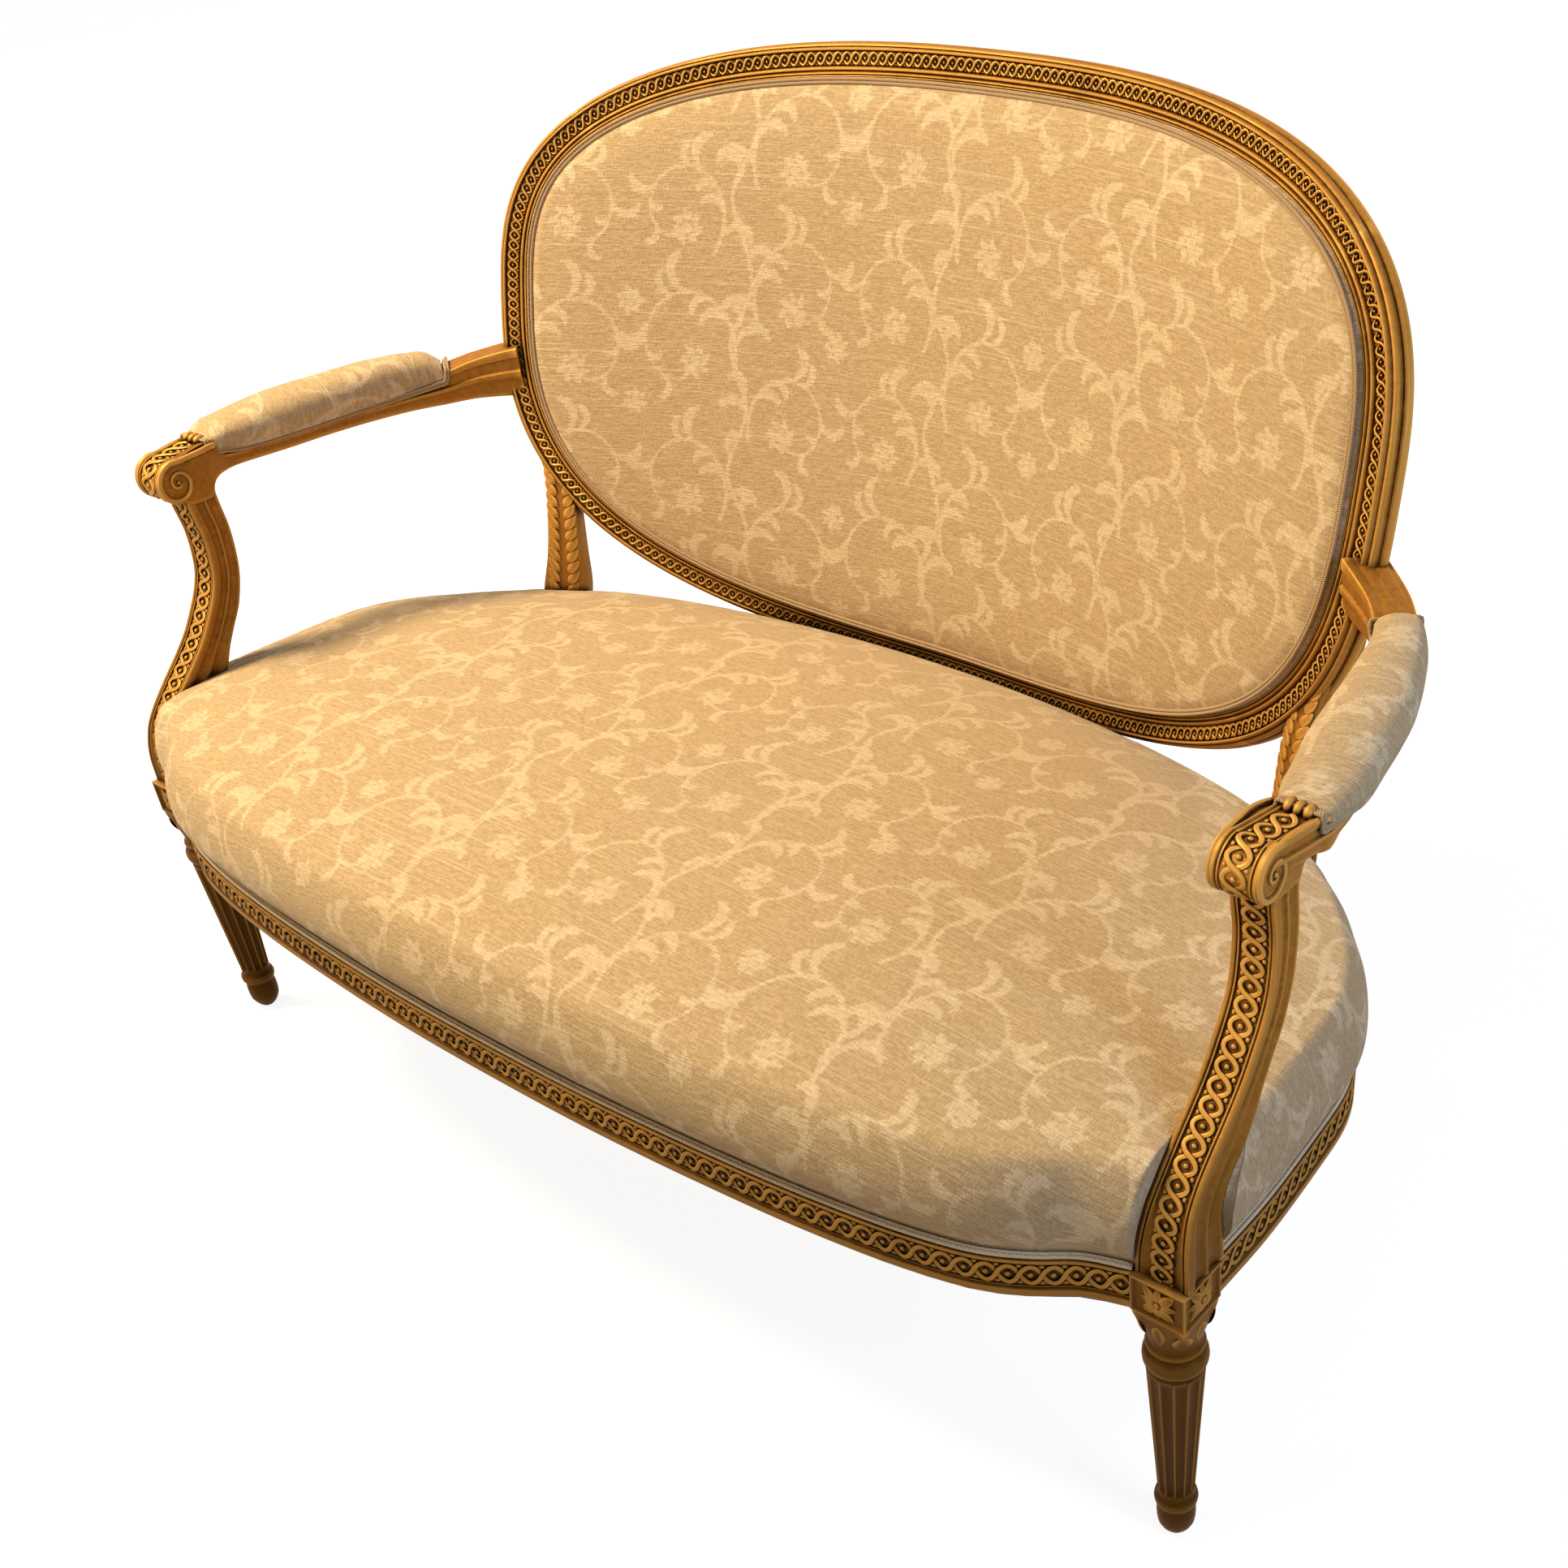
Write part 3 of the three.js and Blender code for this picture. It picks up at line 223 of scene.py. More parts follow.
def framesAlong(points, outward, pitch, start=0.5):
    """even frames along a path, near the pitch apart, and the true pitch over the one asked for"""
    steps = np.linalg.norm(np.diff(points, axis=0), axis=1)
    along = np.concatenate([[0], np.cumsum(steps)])
    count = max(1, round(along[-1] / pitch))
    wanted = (np.arange(count) + start) * along[-1] / count
    tangents = unit(np.gradient(points, along, axis=0))
    place = np.stack([np.interp(wanted, along, column) for column in points.T], axis=1)
    tangent = unit(np.stack([np.interp(wanted, along, column) for column in tangents.T], axis=1))
    out = np.stack([np.interp(wanted, along, column) for column in outward.T], axis=1)
    across = unit(np.cross(out, tangent))
    out = np.cross(tangent, across)
    return np.stack([tangent, across, out, place], axis=2), along[-1] / count / pitch


def strands(path, side, out, radius, spread, sides=8, closed=False):
    """two round cords side by side along a path"""
    angles = np.linspace(0, 2 * np.pi, sides, endpoint=False)
    shells = []
    for shift in (-spread / 2, spread / 2):
        rings = (path + side * shift)[:, None, :] + radius * (
            np.cos(angles)[None, :, None] * side[:, None, :] + np.sin(angles)[None, :, None] * out[:, None, :])
        shells.append(loft(rings, closedAlong=closed))
    return combined(shells)


def mirroredShell(shell):
    points, faces, uvs = shell
    return points * [-1, 1, 1], [face[::-1] for face in faces], uvs.copy()


# Places that several pieces share, as in the CAD.
frontLegX, frontLegY = 682, -302
rearLegX, rearLegY = 515, 138
rearTurn = math.radians(28)
railTop, railHeight = 329, 42
halfWidth, centreY, centreZ = 557, 347, 750
rise, drop, roundAbove, roundBelow = 268.5, 361, 3.1, 2.52
rake, wrap = math.radians(13.65), 160


def backPlace(u, v, depth):
    """a point of the wrapped and raked back, depth behind its face"""
    bend = wrap / halfWidth**2
    place = np.stack([u, centreY + v * math.sin(rake) - bend * u * u, centreZ + v * math.cos(rake)], axis=-1)
    return place + np.asarray(depth)[..., None] * backBehind(u)


def backBehind(u):
    bend = wrap / halfWidth**2
    level = np.full_like(u, math.cos(rake))
    return unit(np.stack([2 * bend * u * math.cos(rake), level, -math.tan(rake) * level], axis=-1))


def ovalFlat(angles, out):
    c, s = np.cos(angles), np.sin(angles)
    power = np.where(s > 0, roundAbove, roundBelow)
    tall = np.where(s > 0, rise, drop)
    u = halfWidth * np.sign(c) * np.abs(c) ** (2 / power)
    v = tall * np.sign(s) * np.abs(s) ** (2 / power)
    normal = unit(np.stack([
        np.sign(u) * np.abs(u / halfWidth) ** (power - 1) / halfWidth,
        np.sign(v) * np.abs(v / tall) ** (power - 1) / tall,
    ], axis=-1))
    return u + out * normal[..., 0], v + out * normal[..., 1]


def backPoint(angles, out, depth):
    u, v = ovalFlat(angles, out)
    return backPlace(u, v, np.full_like(u, depth))


def ovalAngles(start, end, count):
    fine = np.linspace(math.radians(start), math.radians(end), 6001)
    steps = np.linalg.norm(np.diff(backPoint(fine, 0, 0), axis=0), axis=1)
    along = np.concatenate([[0], np.cumsum(steps)])
    return np.interp(np.linspace(0, along[-1], count), along, fine)


def rearPlace(along, out, z):
    """a point beside the rear leg, in the directions of its turned block"""
    c, s = math.cos(rearTurn), math.sin(rearTurn)
    return np.stack([rearLegX + along * c + out * s, rearLegY - along * s + out * c, z + 0 * along], axis=-1)


# Plans of the rails' outer faces, from the left round the front to the right and back.
frontBows = [[0, 1], [0.2, 0.984], [0.4, 0.92], [0.58, 0.825], [0.73, 0.69], [0.83, 0.53], [0.89, 0.34], [0.94, 0.13], [1, 0]]
frontHalf = [[x * 656, -325.5 - bow * 102.5] for x, bow in frontBows]
frontPlan = curve([[-x, y] for x, y in frontHalf[:0:-1]] + frontHalf, 260)
sideShares = [[1, 0.227], [0.991, 0.432], [0.982, 0.564], [0.972, 0.625], [0.959, 0.675], [0.94, 0.731], [0.916, 0.789],
              [0.886, 0.848], [0.846, 0.924], [0.805, 0.983]]
rearOuter = rearPlace(np.array([26.3, -26.3]), np.array([23.5, 23.5]), 0)[:, :2].tolist()
sidePoints = [[705.5, -276]] + [[x * 705.5, -302 + y * 440] for x, y in sideShares] + rearOuter[:1]
sidePlan = curve(sidePoints, 120)
backShares = [[0.638, 1.132], [0.553, 1.175], [0.451, 1.212], [0.369, 1.234], [0.185, 1.266], [0, 1.277]]
backHalf = rearOuter[1:] + [[x * 705.5, -302 + y * 440] for x, y in backShares]
backPlan = curve(backHalf + [[-x, y] for x, y in backHalf[-2::-1]], 200)


def planNormals(plan, sign=1):
    """level directions at right angles to a plan curve"""
    tangent = unit(np.gradient(plan, axis=0))
    return sign * np.stack([tangent[:, 1], -tangent[:, 0]], axis=1)


def alongPlan(plan, normals, out, z):
    """the plan moved out and up, as points in space"""
    moved = plan + normals * np.asarray(out)[..., None]
    return np.concatenate([moved, np.broadcast_to(np.asarray(z, dtype=float), moved.shape[:-1])[..., None]], axis=-1)


# The carved ornament, made once and copied along its bands.
print("ornament")


def guillocheBand(path, outward, pitch, width, height):
    """two ribbons that wind round a row of beads, one over the other in turn"""
    steps = np.linalg.norm(np.diff(path, axis=0), axis=1)
    along = np.concatenate([[0], np.cumsum(steps)])
    count = max(1, round(along[-1] / pitch))
    true = along[-1] / count
    s = np.linspace(0, along[-1], count * 9 + 1)
    at = np.stack([np.interp(s, along, column) for column in path.T], axis=1)
    out = unit(np.stack([np.interp(s, along, column) for column in outward.T], axis=1))
    tangent = unit(np.gradient(at, axis=0))
    across = unit(np.cross(out, tangent))
    wave = np.sin(np.pi * s / true)
    bow = np.sign(wave) * np.abs(wave) ** 0.75
    ribbon = width * 0.1
    around = np.linspace(0, 2 * np.pi, 6, endpoint=False) + 0.3
    shells = []
    for side in (-1, 1):
        lift = height * (0.42 + 0.3 * side * np.cos(np.pi * s / true))
        spine = at + across * (side * bow * (width / 2 - ribbon))[:, None] + out * lift[:, None]
        lean = unit(np.cross(out, unit(np.gradient(spine, axis=0))))
        rings = spine[:, None, :] + (ribbon * np.cos(around)[None, :, None] * lean[:, None, :]
                                     + height * 0.42 * np.sin(around)[None, :, None] * out[:, None, :])
        shells.append(loft(rings))
    bpy.ops.mesh.primitive_uv_sphere_add(segments=8, ring_count=6, radius=0.5)
    bead = moved(taken(bpy.context.object), lambda points: points * 0.001)
    centres, share = framesAlong(path, outward, pitch)
    shells.append(copies(moved(bead, lambda points: points * [pitch * 0.3, width * 0.24, height * 1.5] + [0, 0, height * 0.25]), centres))
    crossings, share = framesAlong(path, outward, pitch, 0.02)
    for side in (-1, 1):
        dart = moved(bead, lambda points: points * [pitch * 0.3, width * 0.2, height * 1.1] + [0, side * width * 0.4, 0])
        shells.append(copies(dart, crossings))
    return combined(shells)


def leaf(length, width, height):
    """a pointed leaf that swells out of its ground, from its root at zero"""
    rows = np.linspace(0, 1, 9)
    half = width / 2 * np.sin(np.pi * rows**0.75) ** 0.8 + 0.15
    lift = height * np.sin(np.pi * rows**0.6) + 0.1
    angles = np.linspace(0, 2 * np.pi, 10, endpoint=False)
    rings = [[[length * row, w * math.cos(a), h * (abs(math.sin(a)) if math.sin(a) > 0 else -0.3) * (0.75 + 0.25 * abs(math.cos(a)))]
              for a in angles] for row, w, h in zip(rows, half, lift)]
    return loft(rings)


# The oval frame in its four lengths, with its band of guilloche.
print("oval frame")
oval = {"joints": (38, 142, 224, 316, 398), "bandOut": -7.4, "bandDepth": 3.6, "pitch": 10.7, "bandWidth": 13.6, "bandHeight": 2.7}
ovalSection = [
    [9, 22], [9.3, 18.5], [8.9, 15.5], [7.6, 13.9], [6.4, 13.6], [6.7, 12.2], [7.4, 10.2], [7.5, 8.4], [6.8, 6.2], [5.4, 4.8], [4.3, 4.6],
    [3.6, 5.2], [3.2, 4], [3.1, 2.2], [2.4, 0.4], [1.4, -0.4], [0.4, 0], [-0.1, 1.4], [-0.4, 3.6], [-0.8, 4], [-14.2, 4], [-14.6, 3.4],
    [-15, 1.3], [-15.8, -0.3], [-17, -1.1], [-18.2, -0.9], [-19, 0.6], [-19.5, 0.8], [-20, -0.6], [-21, -2], [-22, -2.2], [-22.6, -1.2],
    [-23, -1.2], [-23.5, -2.6], [-24.4, -2.8], [-25, -1.6], [-25, 8.8], [-36, 8.8], [-36, 17.2], [-15, 17.2], [-15, 20.5],
]
ovalNames = ["back_top_rail", "back_stile_left", "back_bottom_rail", "back_stile_right"]
for name, start, end in zip(ovalNames, oval["joints"][:-1], oval["joints"][1:]):
    angles = ovalAngles(start, end, 120)
    rings = np.stack([backPoint(angles, out, depth) for out, depth in ovalSection], axis=1)
    bandPath = backPoint(angles, oval["bandOut"], oval["bandDepth"])
    u, v = ovalFlat(angles, oval["bandOut"])
    band = guillocheBand(bandPath, -backBehind(u), oval["pitch"], oval["bandWidth"], oval["bandHeight"])
    piece = newPiece(name + "_carved", combined([loft(rings), band]), 35)
    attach(piece, "root")
    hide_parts(name)
    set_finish(piece, "giltwood")

# The seat rails, each a moulding swept along its plan.
print("seat rails")
railTopMoulding = [[-30, 329], [-1.6, 329], [-0.2, 328.6], [0.4, 327.8], [0.4, 325.8], [-0.4, 325], [-2.6, 324.4]]
railFootMoulding = [[-2.6, 299.6], [-1.6, 299.2], [-1.4, 298.2], [-1.8, 297.6], [-0.6, 297], [0.4, 296], [0.4, 290.2], [-0.8, 288.2],
                    [-2.8, 287.2], [-30, 287]]
railSection = railTopMoulding + railFootMoulding
rail = {"bandZ": 312, "bandOut": -2.4, "pitch": 18.5, "bandWidth": 22.4, "bandHeight": 2.8}


def railShell(plan, normals, carved):
    rings = np.stack([alongPlan(plan, normals, np.full(len(plan), out), z) for out, z in railSection], axis=1)
    shells = [loft(rings)]
    if carved:
        path = alongPlan(plan, normals, np.full(len(plan), rail["bandOut"]), rail["bandZ"])
        outward = np.concatenate([normals, np.zeros((len(plan), 1))], axis=1)
        shells.append(guillocheBand(path, outward, rail["pitch"], rail["bandWidth"], rail["bandHeight"]))
    return combined(shells)


frontRail = railShell(frontPlan, planNormals(frontPlan), True)
sideRail = railShell(sidePlan, planNormals(sidePlan), True)
backRail = railShell(backPlan, planNormals(backPlan), False)
railShells = {"seat_rail_front": frontRail, "seat_rail_right": sideRail, "seat_rail_left": mirroredShell(sideRail),
              "seat_rail_back": backRail}
for name, shell in railShells.items():
    piece = newPiece(name + "_carved", shell, 35)
    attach(piece, "root")
    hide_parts(name)
    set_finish(piece, "giltwood")

# The legs: a fluted turning under a square block with rosettes.
print("legs")
turning = [  # height and radius
    [0, 5], [0.6, 7.2], [4, 10.6], [9, 14], [14.4, 16.4], [20, 17.2], [27, 17.5], [33, 17.2], [37, 16.2], [38.5, 16.2], [40, 17.6],
    [42.5, 19], [46, 19.6], [49.5, 19], [51.5, 17.6], [53, 16.6], [56, 16.3], [60, 16.5], [64, 16.8], [212, 24.9], [215, 25.1],
    [217.5, 25.1], [219.5, 24.4], [221, 23.6], [222.5, 24.2], [224.5, 26.2], [228, 27.6], [232, 28], [236, 27.6], [239, 26.2],
    [240.8, 24.4], [242, 23.4], [243.4, 23.6], [245, 24.8], [247.5, 25.4], [250, 24.8], [251.6, 23.4], [253, 22.8], [256, 22.6],
]
leg = {"flutes": 12, "fluteDepth": 3.3, "fluteFoot": 60, "fluteHead": 216, "half": 26, "blockFoot": 276, "sides": 96}


def legShell():
    heights = np.array(sorted(set([row[0] for row in turning] + np.linspace(62, 78, 7).tolist() + np.linspace(78, 196, 9).tolist()
                                  + np.linspace(196, 211, 7).tolist())))
    radii = np.interp(heights, [row[0] for row in turning], [row[1] for row in turning])
    angles = np.linspace(0, 2 * np.pi, leg["sides"], endpoint=False)
    place = np.abs((angles / (2 * np.pi) * leg["flutes"]) % 1 - 0.5) / 0.42
    scallop = np.sqrt(np.clip(1 - place**2, 0, 1))
    end = np.minimum(heights - leg["fluteFoot"], leg["fluteHead"] - heights) / 7
    reach = np.sqrt(np.clip(1 - np.clip(1 - end, 0, 1) ** 2, 0, 1)) * (end > 0)
    depth = leg["fluteDepth"] * reach[:, None] * scallop[None, :]
    rings = [np.stack([(r - d) * np.cos(angles), (r - d) * np.sin(angles), np.full(len(angles), z)], axis=1)
             for z, r, d in zip(heights, radii, depth)]
    neck = [[259, 22.9, 2.1], [263, 23.3, 2.5], [268, 23.9, 3.2], [273, 24.6, 4.4], [278, 25.3, 6.5], [283, 25.8, 10], [287, 26, 18],
            [291, 25.8, 24]]
    for z, half, power in neck:
        reach = half / (np.abs(np.cos(angles)) ** power + np.abs(np.sin(angles)) ** power) ** (1 / power)
        rings.append(np.stack([reach * np.cos(angles), reach * np.sin(angles), np.full(len(angles), z)], axis=1))
    corner, middle = [], []
    for k in range(8):
        a = math.radians(45 * k)
        spoke = np.array([math.cos(a), math.sin(a), 0])
        start = spoke * (32.4 if k % 2 else 25.7) + [0, 0, 283]
        along = spoke * (23.2 if k % 2 else 22.8) + [0, 0, 258] - start
        along /= np.linalg.norm(along)
        across = np.array([-spoke[1], spoke[0], 0])
        (corner if k % 2 else middle).append(np.stack([along, across, np.cross(along, across), start], axis=1))
    return combined([loft(rings), copies(leaf(25, 17, 1.8), np.array(corner)), copies(leaf(23, 13, 1.5), np.array(middle))])


def blockShell(faceSides):
    """the square block, with a sunk panel and a rosette on each of the given sides"""
    bpy.ops.mesh.primitive_cube_add(size=1)
    block = bpy.context.object
    block.scale = (0.0528, 0.0528, 0.039)
    block.location = (0, 0, 0.3095)
    bpy.ops.object.transform_apply(location=True, scale=True)
    for side in faceSides:
        pick(block)
        for face in block.data.polygons:
            face.select = face.normal.dot(Vector(side)) > 0.9 and face.area > 0.002
        for edge in block.data.edges:
            edge.select = False
        for vertex in block.data.vertices:
            vertex.select = False
        bpy.ops.object.mode_set(mode="EDIT")
        bpy.ops.mesh.select_mode(type="FACE")
        bpy.ops.mesh.inset(thickness=0.003, depth=0)
        bpy.ops.mesh.inset(thickness=0.0014, depth=-0.0026)
        bpy.ops.object.mode_set(mode="OBJECT")
    bevel = block.modifiers.new("edge", "BEVEL")
    bevel.width = 0.0009
    bevel.segments = 2
    bpy.ops.object.modifier_apply(modifier="edge")
    shells = [taken(block)]
    petal = leaf(20, 11.5, 5)
    bpy.ops.mesh.primitive_uv_sphere_add(segments=12, ring_count=8, radius=0.0036)
    bead = taken(bpy.context.object)
    for side in faceSides:
        out = np.array(side, dtype=float)
        across = np.cross(out, [0, 0, 1])
        up = np.array([0, 0, 1.0])
        centre = out * (26.4 - 2.8) + [0, 0, 309.5]
        frames = []
        for k in range(8):
            turn = math.radians(45 * k)
            along = across * math.cos(turn) + up * math.sin(turn)
            size = 1.0 if k % 2 else 0.8
            frames.append(np.stack([along * size, np.cross(out, along) * size, out, centre + along * 1.5], axis=1))
        shells.append(copies(petal, np.array(frames)))
        shells.append(moved(bead, lambda points: points + centre + out * 1.2))
    return combined(shells)


def legPlace(x, y, turn):
    c, s = math.cos(turn), math.sin(turn)
    return lambda p: np.stack([x + p[:, 0] * c + p[:, 1] * s, y - p[:, 0] * s + p[:, 1] * c, p[:, 2]], axis=1)


turned = legShell()
frontLegShell = moved(combined([turned, blockShell([(0, -1, 0), (1, 0, 0)])]), legPlace(frontLegX, frontLegY, 0))
for name, shell in {"front_leg_right": frontLegShell, "front_leg_left": mirroredShell(frontLegShell)}.items():
    piece = newPiece(name + "_carved", shell, 40)
    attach(piece, "root")
    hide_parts(name)
    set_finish(piece, "giltwood")

# The rear legs and the posts above them, with laurel leaves up the front.
print("posts")
postTable = [  # up, shift, lean, width, depth
    [0, 0, 0, 1.167, 1.75], [0.066, 0.095, 0.034, 1.167, 1.6], [0.177, 0.27, 0.121, 1.2, 1.36], [0.288, 0.46, 0.223, 1.36, 1.14],
    [0.43, 0.7, 0.337, 1.1, 1.07], [0.573, 0.85, 0.452, 0.95, 1], [0.731, 0.85, 0.673, 0.87, 1], [0.858, 0.64, 0.874, 1.0, 1.12],
    [1, 0.6, 0.99, 1.08, 1.2],
]
post = {"foot": 329, "top": 645, "shift": 24, "lean": 65, "halfWidth": 21, "halfDepth": 14, "leafPitch": 13}


def postShell():
    rows = rounded(postTable, 60)
    angles = np.linspace(0, 2 * np.pi, 40, endpoint=False)
    square = (np.abs(np.cos(angles)) ** 5 + np.abs(np.sin(angles)) ** 5) ** (-1 / 5)
    z = post["foot"] + rows[:, 0] * (post["top"] - post["foot"])
    along = -rows[:, 1] * post["shift"]
    out = rows[:, 2] * post["lean"]
    halfAlong = rows[:, 3] * post["halfWidth"]
    halfOut = rows[:, 4] * post["halfDepth"]
    rings = rearPlace(along[:, None] + halfAlong[:, None] * square * np.cos(angles),
                      out[:, None] + halfOut[:, None] * square * np.sin(angles), z[:, None])
    front = rearPlace(along, out - halfOut, z)
    tangent = unit(np.gradient(front, axis=0))
    outward = unit(np.cross(np.cross(tangent, rearPlace(np.zeros(60), -np.ones(60), 0) - rearPlace(np.zeros(60), np.zeros(60), 0)), tangent))
    frames, share = framesAlong(front[4:], outward[4:], post["leafPitch"])
    pairs = []
    for frame, width in zip(frames, np.interp(np.linspace(0, 1, len(frames)), np.linspace(0, 1, 56), halfAlong[4:])):
        for side in (-1, 1):
            turn = math.radians(38) * side
            along1 = frame[:, 0] * math.cos(turn) + frame[:, 1] * math.sin(turn)
            across1 = np.cross(frame[:, 2], along1)
            pairs.append(np.stack([along1, across1, frame[:, 2], frame[:, 3] + frame[:, 1] * side * width * 0.2], axis=1))
    leaves = copies(leaf(22, 12, 3.4), np.array(pairs))
    return combined([loft(rings), leaves])


rearShell = combined([moved(combined([turned, blockShell([(1, 0, 0)])]), legPlace(rearLegX, rearLegY, rearTurn)), postShell()])
for name, shell in {"rear_leg_and_post_right": rearShell, "rear_leg_and_post_left": mirroredShell(rearShell)}.items():
    piece = newPiece(name + "_carved", shell, 40)
    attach(piece, "root")
    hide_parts(name)
    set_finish(piece, "giltwood")

# The arm supports: a carved front between fillets, reeded hollow sides and a plain back.
print("arm supports")
supportTable = [  # up, front, back
    [0, 0, 0.375], [0.095, 0.008, 0.375], [0.156, 0.025, 0.395], [0.218, 0.067, 0.5], [0.279, 0.175, 0.7], [0.34, 0.333, 0.817],
    [0.402, 0.508, 0.9], [0.463, 0.663, 1], [0.525, 0.783, 1.11], [0.586, 0.887, 1.183], [0.647, 0.958, 1.233],
    [0.709, 0.987, 1.258], [0.8, 0.995, 1.27], [0.893, 0.96, 1.25], [1, 0.95, 1.24],
]
support = {"frontY": -315.5, "lean": 120, "foot": 329, "top": 655, "half": 20, "bandWidth": 22, "pitch": 16.5, "bandHeight": 2.6}
supportFace = [[-20, -5], [-20, -1.6], [-19.2, -0.3], [-18.2, 0.1], [-16.6, 0.1], [-15.6, -0.6], [-15.2, -1.6], [-14.8, -1], [-13.9, -0.4],
               [-12.9, -0.6], [-12.3, -2.6]]
supportRows = rounded(supportTable, 110)
supportZ = support["foot"] + supportRows[:, 0] * (support["top"] - support["foot"])
supportFront = np.stack([support["frontY"] + supportRows[:, 1] * support["lean"], supportZ], axis=1)
supportBack = np.stack([support["frontY"] + supportRows[:, 2] * support["lean"], supportZ], axis=1)
supportFront[:, 0] -= 6.5 * (1 - smoothstep(0.08, 0.3, supportRows[:, 0]))
supportFlare = 5.6 * (1 - smoothstep(0.02, 0.3, supportRows[:, 0]))


def supportShell():
    tangent = unit(np.gradient(supportFront, axis=0))
    outward = np.stack([-tangent[:, 1], tangent[:, 0]], axis=1)
    face = supportFace + [[-x, out] for x, out in supportFace[::-1]]
    columns = []

    def column(x, at):
        flared = frontLegX + x + np.sign(x) * supportFlare * (abs(x) > 12.5)
        columns.append(np.stack([flared, at[:, 0], at[:, 1]], axis=1))

    for x, out in face:
        column(x, supportFront + outward * out)
    start = supportFront - outward * 5
    sides = [[0.05, 20], [0.1, 19.7], [0.14, 18.4], [0.2, 17], [0.3, 16.4], [0.4, 17], [0.45, 18.7], [0.48, 19.2], [0.52, 19.2],
             [0.55, 18.7], [0.6, 17], [0.7, 16.4], [0.8, 17], [0.86, 18.4], [0.9, 19.7], [0.95, 20], [0.985, 19.6], [1, 18.6]]
    for share, x in sides:
        column(x, lerp(start, supportBack, share))
    for share, x in sides[::-1]:
        column(-x, lerp(start, supportBack, share))
    at = supportFront - outward * 2.2
    path = np.stack([np.full(len(at), float(frontLegX)), at[:, 0], at[:, 1]], axis=1)
    normals = np.stack([np.zeros(len(at)), outward[:, 0], outward[:, 1]], axis=1)
    band = guillocheBand(path[:102], normals[:102], support["pitch"], support["bandWidth"], support["bandHeight"])
    return combined([loft(np.stack(columns, axis=1)), band])


supportRight = supportShell()
for name, shell in {"arm_support_right": supportRight, "arm_support_left": mirroredShell(supportRight)}.items():
    piece = newPiece(name + "_carved", shell, 35)
    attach(piece, "root")
    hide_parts(name)
    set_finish(piece, "giltwood")

# The arms: a scrolled knuckle, and a rail that flares into the oval.
print("arms")
armTable = [  # along, drop, rise, depth, width
    [0, 0, 0.2, 1.1, 1.08], [0.13, -0.09, 0.24, 1.2, 1.04], [0.25, -0.07, 0.02, 0.97, 1], [0.365, 0.01, 0.02, 0.95, 1],
    [0.52, 0.11, 0.06, 0.95, 1], [0.66, 0.235, 0.13, 1, 1], [0.775, 0.37, 0.22, 1.1, 1], [0.85, 0.51, 0.36, 1.25, 1],
    [0.94, 0.75, 0.7, 1.55, 1.02], [1, 1, 0.95, 1.8, 1.05], [1.03, 1.13, 1.05, 1.9, 1.05],
]
arm = {"frontX": 682.6, "endX": 566, "knuckleY": -204, "endY": 178, "topZ": 670, "rise": 34, "depth": 30, "width": 36,
       "knuckleZ": 655, "knuckleRadius": 24, "knuckleHalf": 20.5}
armRows = rounded(armTable, 120)
armPath = np.stack([lerp(arm["frontX"], arm["endX"], armRows[:, 1]), lerp(arm["knuckleY"], arm["endY"], armRows[:, 0]),
                    arm["topZ"] + arm["rise"] * armRows[:, 2]], axis=1)
armPath[:, 2] += 1.8 * (1 - smoothstep(-160, -140, armPath[:, 1]))
armTangent = np.gradient(armPath, axis=0)
armAcross = unit(np.stack([armTangent[:, 1], -armTangent[:, 0], np.zeros(len(armPath))], axis=1))


def knuckleBody():
    """the flush cheeks between the scroll, the arm's front end and the top of its support"""
    turn = np.linspace(np.pi, np.pi / 2, 16)[:-1]
    along = np.concatenate([arm["knuckleY"] + 22.5 * np.cos(turn), np.linspace(-204, -167, 12), -166 + 66 * np.linspace(0, 1, 40) ** 1.8])
    armZ = np.interp(along, armPath[:, 1], armPath[:, 2])
    armX = np.interp(along, armPath[:, 1], armPath[:, 0])
    under = armZ - np.interp(along, armPath[:, 1], armRows[:, 3]) * arm["depth"]
    reach = np.sqrt(np.clip(22.5**2 - (along - arm["knuckleY"]) ** 2, 0, None))
    ahead = along < arm["knuckleY"]
    top = np.where(ahead, arm["knuckleZ"] + reach * 0.92, armZ - 3.8)
    share = np.clip((along + 166) / 25, 0, 1)
    fillet = under + 1 - 17 * (1 - np.sqrt(share * (2 - share)))
    low = np.where(along < -166, arm["knuckleZ"] - 22.5 - 7 * smoothstep(-204, -196, along), fillet)
    low = np.where(ahead, arm["knuckleZ"] - reach, low)
    sink = 5 * smoothstep(-148, -106, along)
    inner = lerp(frontLegX - 20.9, armX - 18.9, smoothstep(-176, -128, along)) + sink
    outer = lerp(frontLegX + 20.9, armX + 18.9, smoothstep(-212, -142, along)) - sink
    sides = [[0, 2.2], [0.05, 0.5], [0.12, 0], [0.35, 0], [0.6, 0], [0.85, 0], [0.94, 0.4], [1, 2.0]]
    rings = []
    drawn = (outer - frontLegX - 20.4) * (1 - smoothstep(-160, -140, along))
    for y, bottom, height, xIn, xOut, lean in zip(along, low, top - low, inner, outer, drawn):
        rings.append([[xIn + inset, y, bottom + height * t] for t, inset in sides[::-1]]
                     + [[xOut - inset - lean * (1 - t), y, bottom + height * t] for t, inset in sides])
    return loft(np.array(rings))


